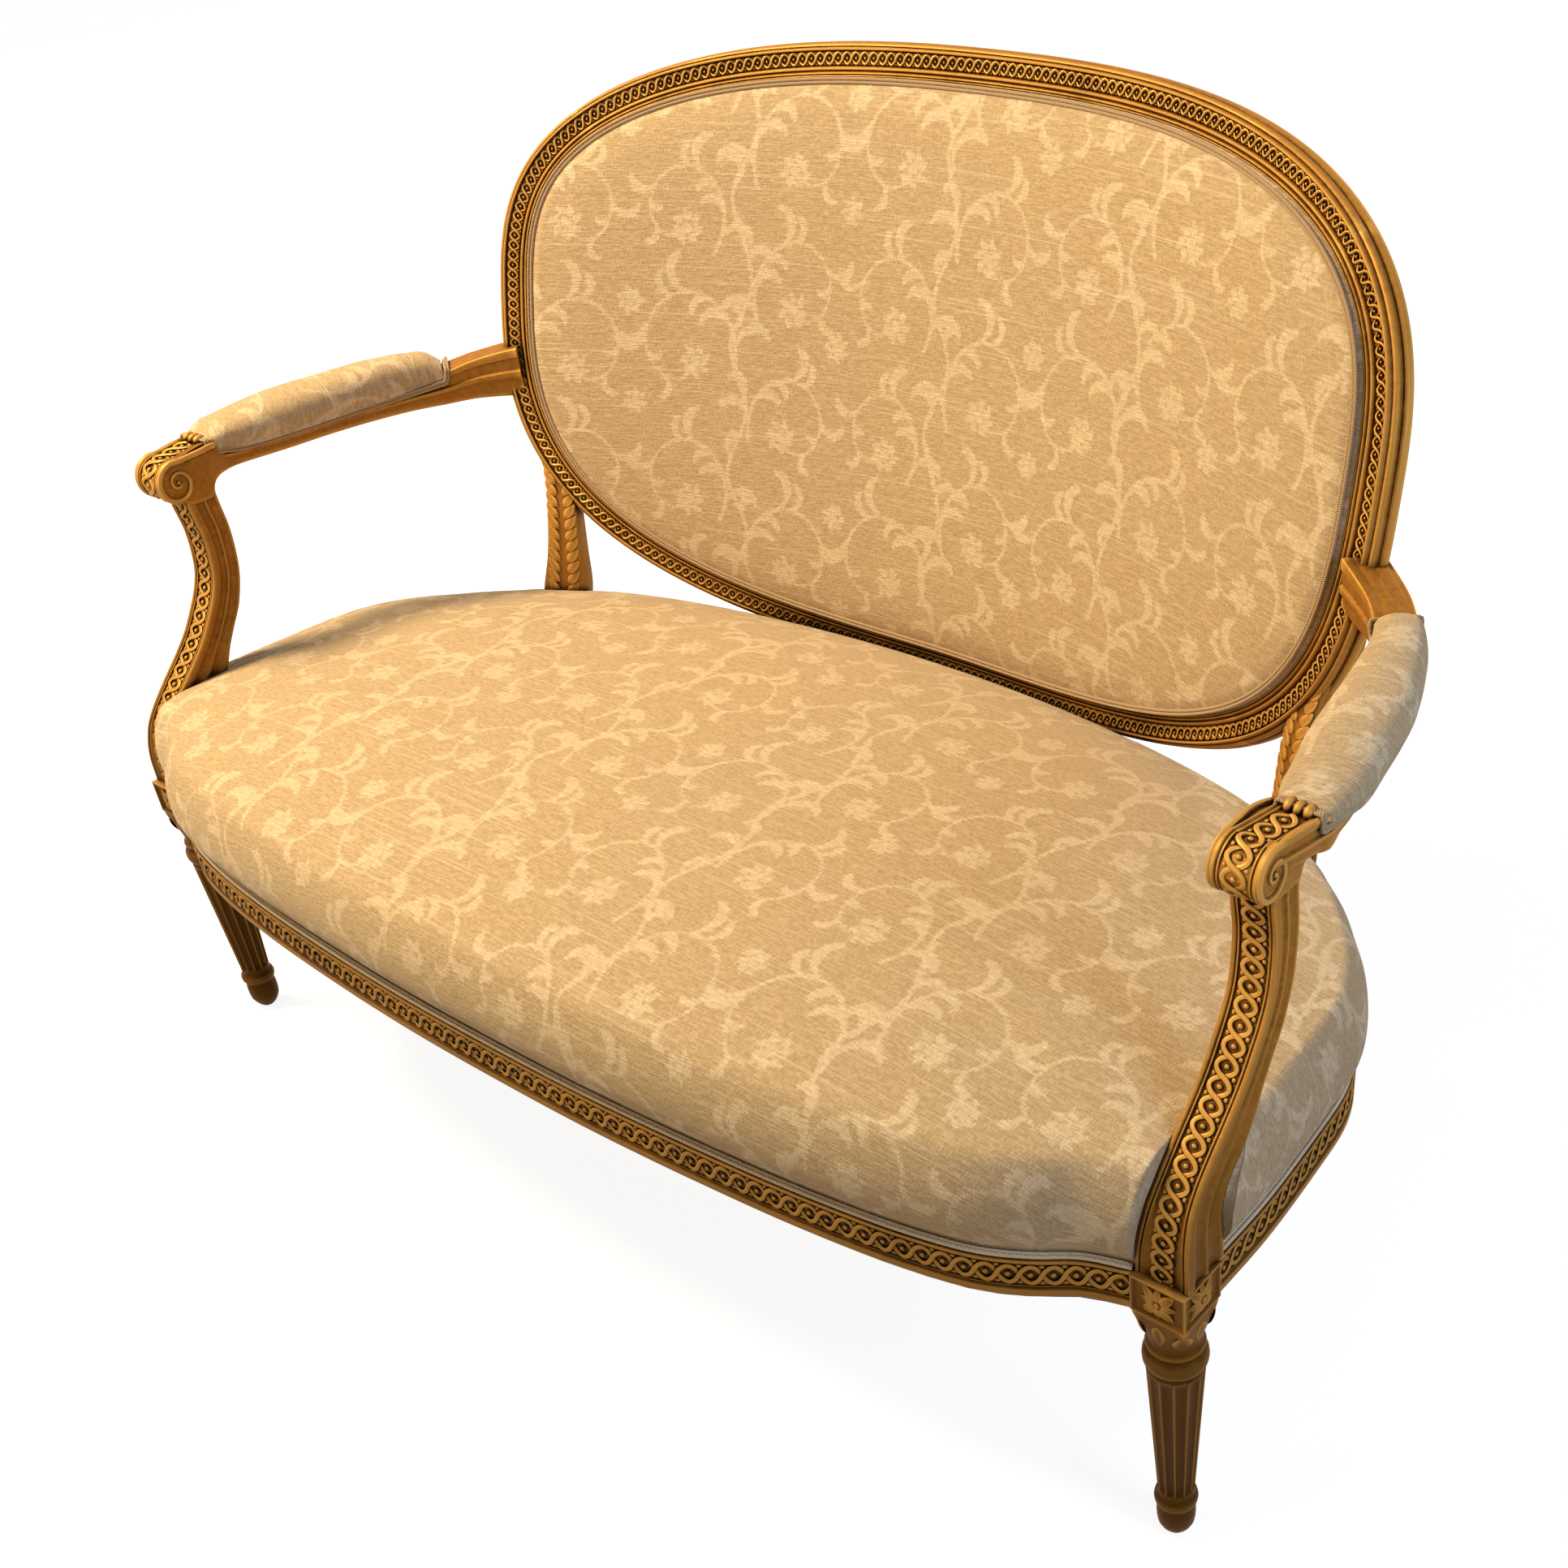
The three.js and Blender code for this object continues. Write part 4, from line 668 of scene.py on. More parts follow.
def armShell():
    """the rail with its fillets in front and reeds behind, the scroll, its ribbon band and its volutes"""
    across1 = np.linspace(-0.47, 0.47, 41)
    reeds = 1.1 * (1 - np.abs(np.cos(math.pi * 2.5 * (across1 + 0.4) / 0.8)))
    level = np.abs(across1) * arm["width"] * 1.1
    fillets = np.interp(level, [0, 12, 12.8, 15.2, 15.8, 16.6, 17.2, 20], [2.6, 2.6, 0.6, 0.6, 1.6, 1.2, 0, 0])
    side = [[0.49, 0.02], [0.5, 0.08], [0.5, 0.17], [0.46, 0.2], [0.45, 0.42], [0.5, 0.46], [0.5, 0.55], [0.44, 0.62], [0.42, 0.7],
            [0.43, 0.8], [0.38, 0.9], [0.28, 1.0]]
    rings = []
    for at, across, row in zip(armPath, armAcross, armRows):
        width, depth = row[4] * arm["width"] * 1.04, row[3] * arm["depth"]
        back = smoothstep(-150, -140, at[1])
        down = fillets * (1 - back) + reeds * back
        top = [at + across * x * width - [0, 0, d] for x, d in zip(across1, down)]
        flanks = [at + across * x * width - [0, 0, d * depth] for x, d in side]
        others = [at - across * x * width - [0, 0, d * depth] for x, d in side[::-1]]
        rings.append(top + flanks + others)
    shells = [loft(np.array(rings)), knuckleBody()]
    sectionKnuckle = [[-20.5, -3], [-20.5, -1.2], [-19.4, 0], [-16.8, 0], [-15.8, -0.8], [-15.2, -1.6], [-14.4, -0.6], [-13, -0.6],
                      [-12.3, -2.6]]
    sectionKnuckle += [[-x, out] for x, out in sectionKnuckle[::-1]]
    sectionKnuckle += [[20.5, -21], [-20.5, -21]]
    angles = np.linspace(0, 2 * np.pi, 72, endpoint=False)
    scroll = [[[frontLegX + x, arm["knuckleY"] + (arm["knuckleRadius"] + out) * math.cos(a),
                arm["knuckleZ"] + (arm["knuckleRadius"] + out) * math.sin(a)] for x, out in sectionKnuckle] for a in angles]
    shells.append(loft(scroll, closedAlong=True))
    curl = np.radians(np.linspace(-72, -270, 60))
    reach = arm["knuckleRadius"] - 2.6
    front = np.stack([np.full(60, float(frontLegX)), arm["knuckleY"] + reach * np.cos(curl), arm["knuckleZ"] + reach * np.sin(curl)], axis=1)
    rear = armPath[(armPath[:, 1] > arm["knuckleY"] + 3) & (armPath[:, 1] < -164)] - [0, 0, 2.6]
    outward = np.vstack([np.stack([np.zeros(60), np.cos(curl), np.sin(curl)], axis=1), np.tile([0, 0, 1.0], (len(rear), 1))])
    shells.append(guillocheBand(np.vstack([front, rear]), outward, 15.5, 23, 3))
    bpy.ops.mesh.primitive_uv_sphere_add(segments=12, ring_count=8, radius=1)
    lobe = moved(taken(bpy.context.object), lambda points: points * 0.001)
    at, across = armPath[np.abs(armPath[:, 1] + 156).argmin()], armAcross[np.abs(armPath[:, 1] + 156).argmin()]
    for shift in (-8.6, 0, 8.6):
        shells.append(moved(lobe, lambda points: points * [4.7, 8, 6.2] + at + across * shift + [0, 0, 0.6]))
    for side in (-1, 1):
        degrees = np.linspace(90, 690, 130)
        turn = np.radians(degrees)
        reach = np.interp(degrees, [90, 225, 270, 320, 380, 450, 540, 690], [21.8, 21.2, 18.4, 14.6, 11.8, 9.8, 7.4, 3.6])
        chosen = (armPath[:, 1] > arm["knuckleY"] + 4) & (armPath[:, 1] < -146)
        straight = armPath[chosen][::-1]
        edge = [lerp(frontLegX + side * 20.9, at[0] + side * 18.9, smoothstep(-212, -142, at[1]) if side > 0 else smoothstep(-176, -128, at[1]))
                for at in straight]
        straight = np.stack([edge, straight[:, 1], straight[:, 2] - 2.6], axis=1)
        spine = np.vstack([
            straight,
            np.stack([np.full(130, frontLegX + side * 20.9), arm["knuckleY"] + reach * np.cos(turn), arm["knuckleZ"] + reach * np.sin(turn)],
                     axis=1),
        ])
        tangent = unit(np.gradient(spine, axis=0))
        away = np.tile([float(side), 0, 0], (len(spine), 1))
        across = unit(np.cross(away, tangent))
        around = np.linspace(0, 2 * np.pi, 8, endpoint=False)
        thick = np.linspace(3.5, 1.5, len(spine))[:, None, None]
        rings = spine[:, None, :] + thick * (np.cos(around)[None, :, None] * across[:, None, :] + 0.8 * np.sin(around)[None, :, None] * away[:, None, :])
        shells.append(loft(rings))
        shells.append(moved(lobe, lambda points: points * 2.6 + [frontLegX + side * 20.4, arm["knuckleY"], arm["knuckleZ"]]))
    return combined(shells)


armRight = armShell()
for name, shell in {"arm_rail_right": armRight, "arm_rail_left": mirroredShell(armRight)}.items():
    piece = newPiece(name + "_carved", shell, 35)
    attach(piece, "root")
    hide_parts(name)
    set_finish(piece, "giltwood")


# The damask's repeat: a generic scrolling vine, drawn into a tile of one millimetre cells.
print("damask")
tileWidth, tileHeight = 520, 430
vineTile = np.zeros((tileHeight, tileWidth))


def stamp(x, y, radius):
    """a soft disc on the tile and on its half-drop neighbour"""
    reach = int(radius + 3)
    span = np.arange(-reach, reach + 1)
    for dx, dy in ((0, 0), (tileWidth / 2, tileHeight / 2)):
        cx, cy = x + dx, y + dy
        columns = (int(cx) + span) % tileWidth
        rows = (int(cy) + span) % tileHeight
        away = np.hypot(span[None, :] - (cx - int(cx)), span[:, None] - (cy - int(cy)))
        shade = np.clip((radius - away) / 1.6 + 0.5, 0, 1)
        block = vineTile[np.ix_(rows, columns)]
        vineTile[np.ix_(rows, columns)] = np.maximum(block, shade)


def stroke(points, widths):
    length = np.linalg.norm(np.diff(points, axis=0), axis=1).sum()
    count = max(int(length), 4)
    fine = evenly(np.asarray(points, dtype=float), count)
    for (x, y), radius in zip(fine, np.interp(np.linspace(0, 1, count), np.linspace(0, 1, len(widths)), widths)):
        stamp(x, y, radius)


def crook(x, y, heading, length, side, width):
    """a leaf that rises from its stem, swells and hooks over to a point"""
    t = np.linspace(0, 1, 40)
    turn = math.radians(heading) + math.radians(side) * (-22 + 150 * t**1.35)
    steps = np.stack([np.cos(turn), np.sin(turn)], axis=1) * length / 40
    stroke(np.array([x, y]) + np.cumsum(steps, axis=0), [1.0, 1.6, width * 0.6, width * 0.95, width * 1.15, width, width * 0.5])


def bloom(x, y, heading, size):
    """a flower seen from its side: a cup under a fan of petals"""
    middle = np.array([x + size * 0.7 * math.cos(math.radians(heading)), y + size * 0.7 * math.sin(math.radians(heading))])
    stroke([[x, y], middle], [1.4, 1.6])
    stamp(*middle, size * 0.33)
    for k in range(7):
        a = math.radians(heading + 51.4 * k)
        stamp(middle[0] + size * 0.63 * math.cos(a), middle[1] + size * 0.63 * math.sin(a), size * 0.25)
        stamp(middle[0] + size * 0.9 * math.cos(a + 0.2), middle[1] + size * 0.9 * math.sin(a + 0.2), size * 0.14)


def scroll(x, y, radius, start, hand, length):
    """an open curl that ends in a flower, with hooked leaves on both sides"""
    t = np.linspace(0, 1, 120)
    reach = radius * (1 - 0.62 * t**1.2)
    angle = math.radians(start) + hand * t * 0.86 * 2 * math.pi
    points = np.stack([x + reach * np.cos(angle), y + reach * np.sin(angle) * 1.08], axis=1)
    stroke(points, [2.5, 2.2, 2.0, 1.8, 1.6])
    heading = np.degrees(np.arctan2(*np.gradient(points, axis=0).T[::-1]))
    for place, side, share, width in [(0.04, 1, 1.05, 5.2), (0.1, -1, 0.95, 5), (0.2, -1, 0.75, 4.4), (0.3, 1, 1.0, 5.2), (0.36, 1, 0.7, 4.2),
                                      (0.55, 1, 0.85, 4.8), (0.62, -1, 0.5, 3.6), (0.78, 1, 0.6, 4)]:
        k = int(place * 119)
        crook(points[k, 0], points[k, 1], heading[k] - hand * side * 16, length * share, -hand * side, width)
    bloom(points[-1, 0], points[-1, 1], heading[-1] + hand * 20, 19)


stem = curve([[134, -40], [116, 16], [142, 84], [118, 150], [140, 222], [119, 292], [143, 356], [122, 430]], 200)
stroke(stem, [2.3, 2.6, 2.3])
for x, y, radius, start, hand, length in [(203, 60, 66, 212, -1, 64), (58, 132, 60, 326, 1, 58), (199, 208, 57, 196, -1, 56),
                                          (60, 284, 67, 344, 1, 64), (205, 350, 61, 220, -1, 60), (54, 426, 56, 318, 1, 54)]:
    scroll(x, y, radius, start, hand, length)
for x, y, heading, length, side, width in [(118, 24, 70, 46, 1, 5), (124, 166, 110, 42, -1, 5), (124, 306, 70, 44, 1, 5), (140, 98, 100, 40, -1, 4.6),
                                           (138, 236, 95, 40, 1, 4.6), (140, 370, 80, 42, -1, 4.8)]:
    crook(x, y, heading, length, side, width)
bloom(262, 128, 250, 16)
bloom(2, 214, 80, 15)
bloom(258, 290, 120, 16)
for _ in range(2):
    vineTile = (vineTile * 2 + np.roll(vineTile, 1, 0) + np.roll(vineTile, -1, 0) + np.roll(vineTile, 1, 1) + np.roll(vineTile, -1, 1)) / 6


def vineAt(cloth):
    """how much of the vine shows at places on the cloth, in metres"""
    x, y = cloth[:, 0] * 1000 % tileWidth, cloth[:, 1] * 1000 % tileHeight
    i, j = np.floor(y).astype(int), np.floor(x).astype(int)
    fy, fx = y - i, x - j
    below, beside = (i + 1) % tileHeight, (j + 1) % tileWidth
    return (vineTile[i, j] * (1 - fx) * (1 - fy) + vineTile[i, beside] * fx * (1 - fy)
            + vineTile[below, j] * (1 - fx) * fy + vineTile[below, beside] * fx * fy)


def damaskPiece(name, points, faces, cloth, angle=None):
    """a covered piece, with the vine stored at its points; cloth is one place on the cloth for each point"""
    corners = cloth[np.concatenate([np.asarray(face) for face in faces])]
    piece = newPiece(name, (points, faces, corners), angle)
    vine = piece.data.attributes.new("vine", "FLOAT", "POINT")
    vine.data.foreach_set("value", vineAt(cloth).astype(np.float32))
    return piece


def waves(x, y, seed):
    """slow unevenness, about one in size"""
    chance = np.random.default_rng(seed)
    total = 0
    for scale in (0.012, 0.02, 0.033, 0.05):
        a, b = chance.uniform(0, 2 * np.pi, 2)
        turn = chance.uniform(0, np.pi)
        total = total + np.sin((x * math.cos(turn) + y * math.sin(turn)) * scale + a) * np.sin(
            (y * math.cos(turn) - x * math.sin(turn)) * scale * 0.8 + b) * 0.4
    return total


def coons(front, right, back, left):
    """a patch between four edges; front and back run left to right, the sides front to back"""
    columns, rows = len(front), len(right)
    a = np.linspace(0, 1, columns)[None, :, None]
    b = np.linspace(0, 1, rows)[:, None, None]
    across = (1 - b) * front[None] + b * back[None]
    along = (1 - a) * left[:, None] + a * right[:, None]
    corners = ((1 - a) * (1 - b) * front[0] + a * (1 - b) * front[-1] + (1 - a) * b * back[0] + a * b * back[-1])
    return across + along - corners


def rimOrder(columns, rows):
    """the grid's border as one loop: front, right, back and left"""
    grid = np.arange(rows * columns).reshape(rows, columns)
    return np.concatenate([grid[0, :-1], grid[:-1, -1], grid[-1, :0:-1], grid[:0:-1, 0]])


def skirtFaces(rim, firstNew, loops, columns=0, rows=0):
    """faces from a rim down through new loops of points, and a floor under the last, ruled from edge to edge where it is wrapped"""
    count = len(rim)
    faces = []
    above = np.asarray(rim)
    for k in range(loops):
        below = firstNew + k * count + np.arange(count)
        faces += np.stack([above, below, np.roll(below, -1), np.roll(above, -1)], axis=1).tolist()
        above = below
    if not columns:
        return faces + [above.tolist()]
    first, second, third = columns - 1, columns + rows - 2, 2 * columns + rows - 3
    near, far = above[:first + 1], above[second:third + 1][::-1]
    faces += np.stack([near[:-1], near[1:], far[1:], far[:-1]], axis=1).tolist()
    for side in (above[first:second + 1], np.append(above[third:], above[0])):
        for k in range((len(side) - 1) // 2):
            quad = [side[k], side[k + 1], side[-k - 2], side[-k - 1]]
            faces.append([int(corner) for corner in dict.fromkeys(quad)])
    return faces


# The seat: a tight domed pad in one form, cut round the arm supports, the posts and the oval.
print("seat")
seat = {
    "columns": 520, "rows": 214, "wall": 102, "crown": 150, "middleY": -82, "rearDrop": 0.1, "clear": 0.6,
    "rings": [[0.3, 9], [4.6, 9], [12, 3.5], [30.6, -6.5], [48, -7.6], [63.2, -5.6], [78, -0.8], [89, 4.6], [97, 9.6], [102, 15.6]],
}
cornerFront = [[668, -322], [690, -314], [702, -298]]
rightHalf = sidePoints
loopPoints = frontHalf[-1:] + cornerFront + rightHalf + rearOuter[1:]
seatRight = curve([[656, -325.5]] + cornerFront + [p for p in sidePoints] + backHalf[:1], 400)
seatLoop = np.vstack([frontPlan, seatRight[1:], backPlan[1:], (seatRight * [-1, 1])[::-1][1:-1]])
seatLoop = evenly(np.vstack([seatLoop, seatLoop[:1]]), 2401)[:-1]
loopTangent = unit(np.roll(seatLoop, -4, axis=0) - np.roll(seatLoop, 4, axis=0))
loopNormal = np.stack([loopTangent[:, 1], -loopTangent[:, 0]], axis=1)


def nearestIndex(x, y):
    return int(np.hypot(seatLoop[:, 0] - x, seatLoop[:, 1] - y).argmin())


def wallShare(y):
    return 1 - seat["rearDrop"] * smoothstep(-20.4, 138, y)


def seatEdge(first, last, count):
    """indices round the loop between two corners, in even steps"""
    span = (last - first) % len(seatLoop)
    return (first + np.linspace(0, span, count)) % len(seatLoop)


def loopAt(values, index):
    whole = np.floor(index).astype(int) % len(seatLoop)
    part = (index - np.floor(index))[:, None]
    return values[whole] * (1 - part) + values[(whole + 1) % len(seatLoop)] * part


cornerRightFront, cornerRightBack = nearestIndex(698, -308), nearestIndex(531, 162)
cornerLeftBack, cornerLeftFront = nearestIndex(-531, 162), nearestIndex(-698, -308)
seatFrontIndex = seatEdge(cornerLeftFront, cornerRightFront, seat["columns"])
seatRightIndex = seatEdge(cornerRightFront, cornerRightBack, seat["rows"])
seatBackIndex = seatEdge(cornerRightBack, cornerLeftBack, seat["columns"])
seatLeftIndex = seatEdge(cornerLeftBack, cornerLeftFront, seat["rows"])
profile = curve([[inset, height] for height, inset in seat["rings"]], 24)[::-1]


def ringAt(index, inset):
    return loopAt(seatLoop, index) - loopAt(loopNormal, index) * inset


def notched(points):
    """the pad's points kept out of the arm supports, the posts and the oval"""
    p = points.copy()
    clear = seat["clear"]
    for side in (-1, 1):
        x = p[:, 0] * side
        back = np.interp(p[:, 2], supportBack[:, 1], supportBack[:, 0]) + clear
        inner = frontLegX - 20 - np.interp(p[:, 2], supportZ, supportFlare) - clear
        inside = (x > inner) & (p[:, 1] < back)
        toInner, toBack = x - inner, back - p[:, 1]
        goInner = inside & (toInner <= toBack)
        goBack = inside & (toInner > toBack)
        p[goInner, 0] = inner[goInner] * side
        p[goBack, 1] = back[goBack]
        x = p[:, 0] * side
        c, s = math.cos(rearTurn), math.sin(rearTurn)
        along = (x - rearLegX) * c - (p[:, 1] - rearLegY) * s
        out = (x - rearLegX) * s + (p[:, 1] - rearLegY) * c
        up = np.clip((p[:, 2] - post["foot"]) / (post["top"] - post["foot"]), 0, 1)
        table = np.asarray(postTable)
        shift = -np.interp(up, table[:, 0], table[:, 1]) * post["shift"]
        wide = np.interp(up, table[:, 0], table[:, 3]) * post["halfWidth"] + clear
        face = np.interp(up, table[:, 0], table[:, 2]) * post["lean"] - np.interp(up, table[:, 0], table[:, 4]) * post["halfDepth"] - clear
        within = (out > face) & (np.abs(along - shift) < wide)
        toFace, toLow, toHigh = out - face, along - (shift - wide), shift + wide - along
        least = np.minimum(np.minimum(toFace, toLow), toHigh)
        newOut = np.where(within & (toFace == least), face, out)
        newAlong = np.where(within & (toLow == least), shift - wide, np.where(within & (toHigh == least), shift + wide, along))
        changed = within
        p[changed, 0] = side * (rearLegX + newAlong * c + newOut * s)[changed]
        p[changed, 1] = (rearLegY - newAlong * s + newOut * c)[changed]
    angles = ovalAngles(182, 358, 300)
    u, v = ovalFlat(angles, 6)
    low = backPlace(u, v, np.zeros_like(u))
    order = np.argsort(low[:, 0])
    lowZ = np.interp(p[:, 0], low[order, 0], low[order, 2])
    bend = wrap / halfWidth**2
    faceY = centreY + (p[:, 2] - centreZ) * math.tan(rake) - bend * p[:, 0] ** 2 - 4 / math.cos(rake) - clear
    hit = (p[:, 2] > lowZ - 2) & (np.abs(p[:, 0]) < 545) & (p[:, 1] > faceY)
    p[hit, 1] = faceY[hit]
    return p


def seatPad():
    columns, rows = seat["columns"], seat["rows"]
    inset, rimHeight = profile[0]
    front, right = ringAt(seatFrontIndex, inset), ringAt(seatRightIndex, inset)
    back, left = ringAt(seatBackIndex, inset)[::-1], ringAt(seatLeftIndex, inset)[::-1]
    flat = coons(front, right, back, left).reshape(-1, 2)
    rim = rimOrder(columns, rows)
    edge = flat[rim]
    bearing = np.arctan2(edge[:, 1] - seat["middleY"], edge[:, 0])
    order = np.argsort(bearing)
    reach = np.hypot(edge[:, 0], edge[:, 1] - seat["middleY"])
    own = np.arctan2(flat[:, 1] - seat["middleY"], flat[:, 0])
    limit = np.interp(own, bearing[order], reach[order], period=2 * np.pi)
    share = np.clip(np.hypot(flat[:, 0], flat[:, 1] - seat["middleY"]) / limit, 0, 1)
    edgeY = seat["middleY"] + limit * np.sin(own)
    rimZ = rimHeight * wallShare(edgeY)
    z = railTop + lerp(rimZ, seat["crown"], 1 - share**3.2) + 0.7 * waves(flat[:, 0], flat[:, 1], 3) * (1 - share**6)
    points = [np.concatenate([flat, z[:, None]], axis=1)]
    cloth = [flat * 0.001]
    grid = np.arange(rows * columns).reshape(rows, columns)
    faces = np.stack([grid[:-1, :-1], grid[:-1, 1:], grid[1:, 1:], grid[1:, :-1]], axis=-1).reshape(-1, 4).tolist()
    index = np.concatenate([seatFrontIndex[:-1], seatRightIndex[:-1], seatBackIndex[:-1], seatLeftIndex[:-1]])
    normal = loopAt(loopNormal, index)
    unrolled = 0
    previous = profile[0]
    for current in profile[1:]:
        unrolled += math.hypot(current[0] - previous[0], current[1] - previous[1])
        level = ringAt(index, current[0])
        height = railTop + current[1] * np.where(current[1] > 5, wallShare(level[:, 1]), 1)
        points.append(np.concatenate([level, height[:, None]], axis=1))
        cloth.append((edge + normal * unrolled) * 0.001)
        previous = current
    faces += skirtFaces(rim, len(flat), len(profile) - 1)
    return notched(np.vstack(points)), faces, np.vstack(cloth)


seatPiece = damaskPiece("seat_cushion", *seatPad())
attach(seatPiece, "root")
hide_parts("seat_pad")
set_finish(seatPiece, "damask")

# The back panel, domed between the gimp and the crown.
print("back panel")
panel = {"columns": 430, "rows": 248, "corner": 48, "middleV": -46.25,
         "edge": [[-39.3, -12.6], [-36, -11], [-32, -8.4], [-28.5, -6], [-25.3, -3], [-25.3, 1.5]],
         "depths": [[0, -30], [0.32, -30], [0.65, -27.6], [0.88, -21.6], [0.95, -17.6], [1, -12.6]]}


def backPanel():
    columns, rows = panel["columns"], panel["rows"]
    turns = [(228, 312, columns), (-48, 42, rows), (42, 138, columns), (138, 228, rows)]
    angles = [ovalAngles(a, b, count) for a, b, count in turns]

    def ring(out):
        return [np.stack(ovalFlat(a, out), axis=1) for a in angles]

    front, right, back, left = ring(panel["edge"][0][0])
    flat = coons(front, right, back[::-1], left[::-1]).reshape(-1, 2)
    rim = rimOrder(columns, rows)
    edge = flat[rim]
    middle = np.array([0, panel["middleV"]])
    bearing = np.arctan2(edge[:, 1] - middle[1], edge[:, 0])
    order = np.argsort(bearing)
    reach = np.hypot(*(edge - middle).T)
    own = np.arctan2(flat[:, 1] - middle[1], flat[:, 0])
    limit = np.interp(own, bearing[order], reach[order], period=2 * np.pi)
    share = np.clip(np.hypot(*(flat - middle).T) / limit, 0, 1)
    table = rounded(panel["depths"], 200)
    depth = np.interp(share, table[:, 0], table[:, 1]) + 0.6 * waves(flat[:, 0], flat[:, 1], 8) * (1 - share**6)
    points = [backPlace(flat[:, 0], flat[:, 1], depth)]
    cloth = [flat * 0.001 + [0.15, 0.11]]
    grid = np.arange(rows * columns).reshape(rows, columns)
    faces = np.stack([grid[:-1, :-1], grid[:-1, 1:], grid[1:, 1:], grid[1:, :-1]], axis=-1).reshape(-1, 4).tolist()
    for out, deep in panel["edge"][1:]:
        f, r, b, l = ring(out)
        loop = np.vstack([f[:-1], r[:-1], b[:-1], l[:-1]])
        points.append(backPlace(loop[:, 0], loop[:, 1], np.full(len(loop), deep)))
        cloth.append(loop * 0.001 + [0.15, 0.11])
    faces += skirtFaces(rim, len(flat), len(panel["edge"]) - 1, columns, rows)
    return np.vstack(points), faces, np.vstack(cloth)


backPiece = damaskPiece("back_cushion", *backPanel())
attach(backPiece, "root")
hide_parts("back_pad")
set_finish(backPiece, "damask")

# The arm pads, stuffed saddles over the arm rails.
print("arm pads")
padTable = [  # along, width, height
    [0, 0.6, 0.15], [0.03, 0.74, 0.4], [0.12, 0.9, 0.72], [0.22, 0.97, 0.9], [0.36, 1, 1], [0.5, 0.98, 1], [0.62, 0.9, 1],
    [0.77, 0.78, 0.97], [0.88, 0.67, 0.85], [0.97, 0.58, 0.55], [1, 0.54, 0.2],
]
pad = {"frontY": -150, "rearY": 126, "width": 69, "height": 34, "skirt": 6.2, "woodHalf": 18.4, "rows": 110}


def armPad():
    shares = np.concatenate([np.linspace(0, 0.06, 14)[:-1], np.linspace(0.06, 0.94, pad["rows"]), np.linspace(0.94, 1, 14)[1:]])
    table = np.asarray(padTable)
    smooth = rounded(table, 400)
    rings, cloth = [], []
    half = [[0.43, 0], [0.475, 0.08], [0.5, 0.2], [0.497, 0.36], [0.475, 0.55], [0.42, 0.72], [0.33, 0.86], [0.2, 0.955], [0.08, 0.995]]
    fineHalf = curve(half, 26)
    for share in shares:
        y = lerp(pad["frontY"], pad["rearY"], share)
        x = np.interp(y, armPath[:, 1], armPath[:, 0])
        z = np.interp(y, armPath[:, 1], armPath[:, 2])
        across = np.array([np.interp(y, armPath[:, 1], armAcross[:, k]) for k in range(3)])
        width = max(np.interp(share, smooth[:, 0], smooth[:, 1]), 0.5) * pad["width"]
        height = max(np.interp(share, smooth[:, 0], smooth[:, 2]), 0.1) * pad["height"]
        wood = pad["woodHalf"]
        outline = [[wood + 0.3, -pad["skirt"]], [max(width * 0.43, wood + 0.5), -pad["skirt"]]]
        outline += [[max(w * width, (wood + 0.5) * (1 - up**3)), up * height] for w, up in fineHalf]
        outline = outline + [[-a, b] for a, b in outline[::-1]] + [[-wood - 0.3, 0.4], [wood + 0.3, 0.4]]
        outline = np.array(outline)
        at = np.array([x, y, z])
        rings.append(at + outline[:, :1] * across + outline[:, 1:] * np.array([0, 0, 1.0]))
        around = np.concatenate([[0], np.cumsum(np.linalg.norm(np.diff(outline, axis=0), axis=1))])
        cloth.append(np.stack([around * 0.001 - 0.05, np.full(len(outline), y * 0.001)], axis=1))
    points, faces, _ = loft(np.array(rings))
    return points, faces, np.vstack(cloth)


armPoints, armFaces, armCloth = armPad()
for name, sign in (("arm_pad_right", 1), ("arm_pad_left", -1)):
    faces = armFaces if sign == 1 else [face[::-1] for face in armFaces]
    piece = damaskPiece(name.replace("pad", "cushion"), armPoints * [sign, 1, 1], faces, armCloth + [0.07 if sign == 1 else 0.31, 0.2], 60)
    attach(piece, "root")
    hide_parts(name)
    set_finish(piece, "damask")

# The gimps: pairs of round cords along the edges of the cloth.
print("gimps")
gimp = {"radius": 1.75, "spread": 3.5}


def planGimp(plan, normals, inset):
    path = alongPlan(plan, normals, np.full(len(plan), -inset), railTop + gimp["radius"] + 0.2)
    side = np.concatenate([normals, np.zeros((len(plan), 1))], axis=1)
    return strands(path, side, np.tile([0, 0, 1.0], (len(plan), 1)), gimp["radius"], gimp["spread"])


frontGimp = planGimp(frontPlan, planNormals(frontPlan), 4.6)
sideGimp = planGimp(sidePlan, planNormals(sidePlan), 4.6)
backGimpRail = planGimp(backPlan, planNormals(backPlan), 4.6)
panelAngles = ovalAngles(0, 360, 700)[:-1]
panelU, panelV = ovalFlat(panelAngles, -28.6)
panelPath = backPlace(panelU, panelV, np.full_like(panelU, -8.6))
panelAway = -backBehind(panelU)
panelTangent = unit(np.roll(panelPath, -1, axis=0) - np.roll(panelPath, 1, axis=0))
panelGimp = strands(panelPath, unit(np.cross(panelTangent, panelAway)), panelAway, gimp["radius"], gimp["spread"], closed=True)


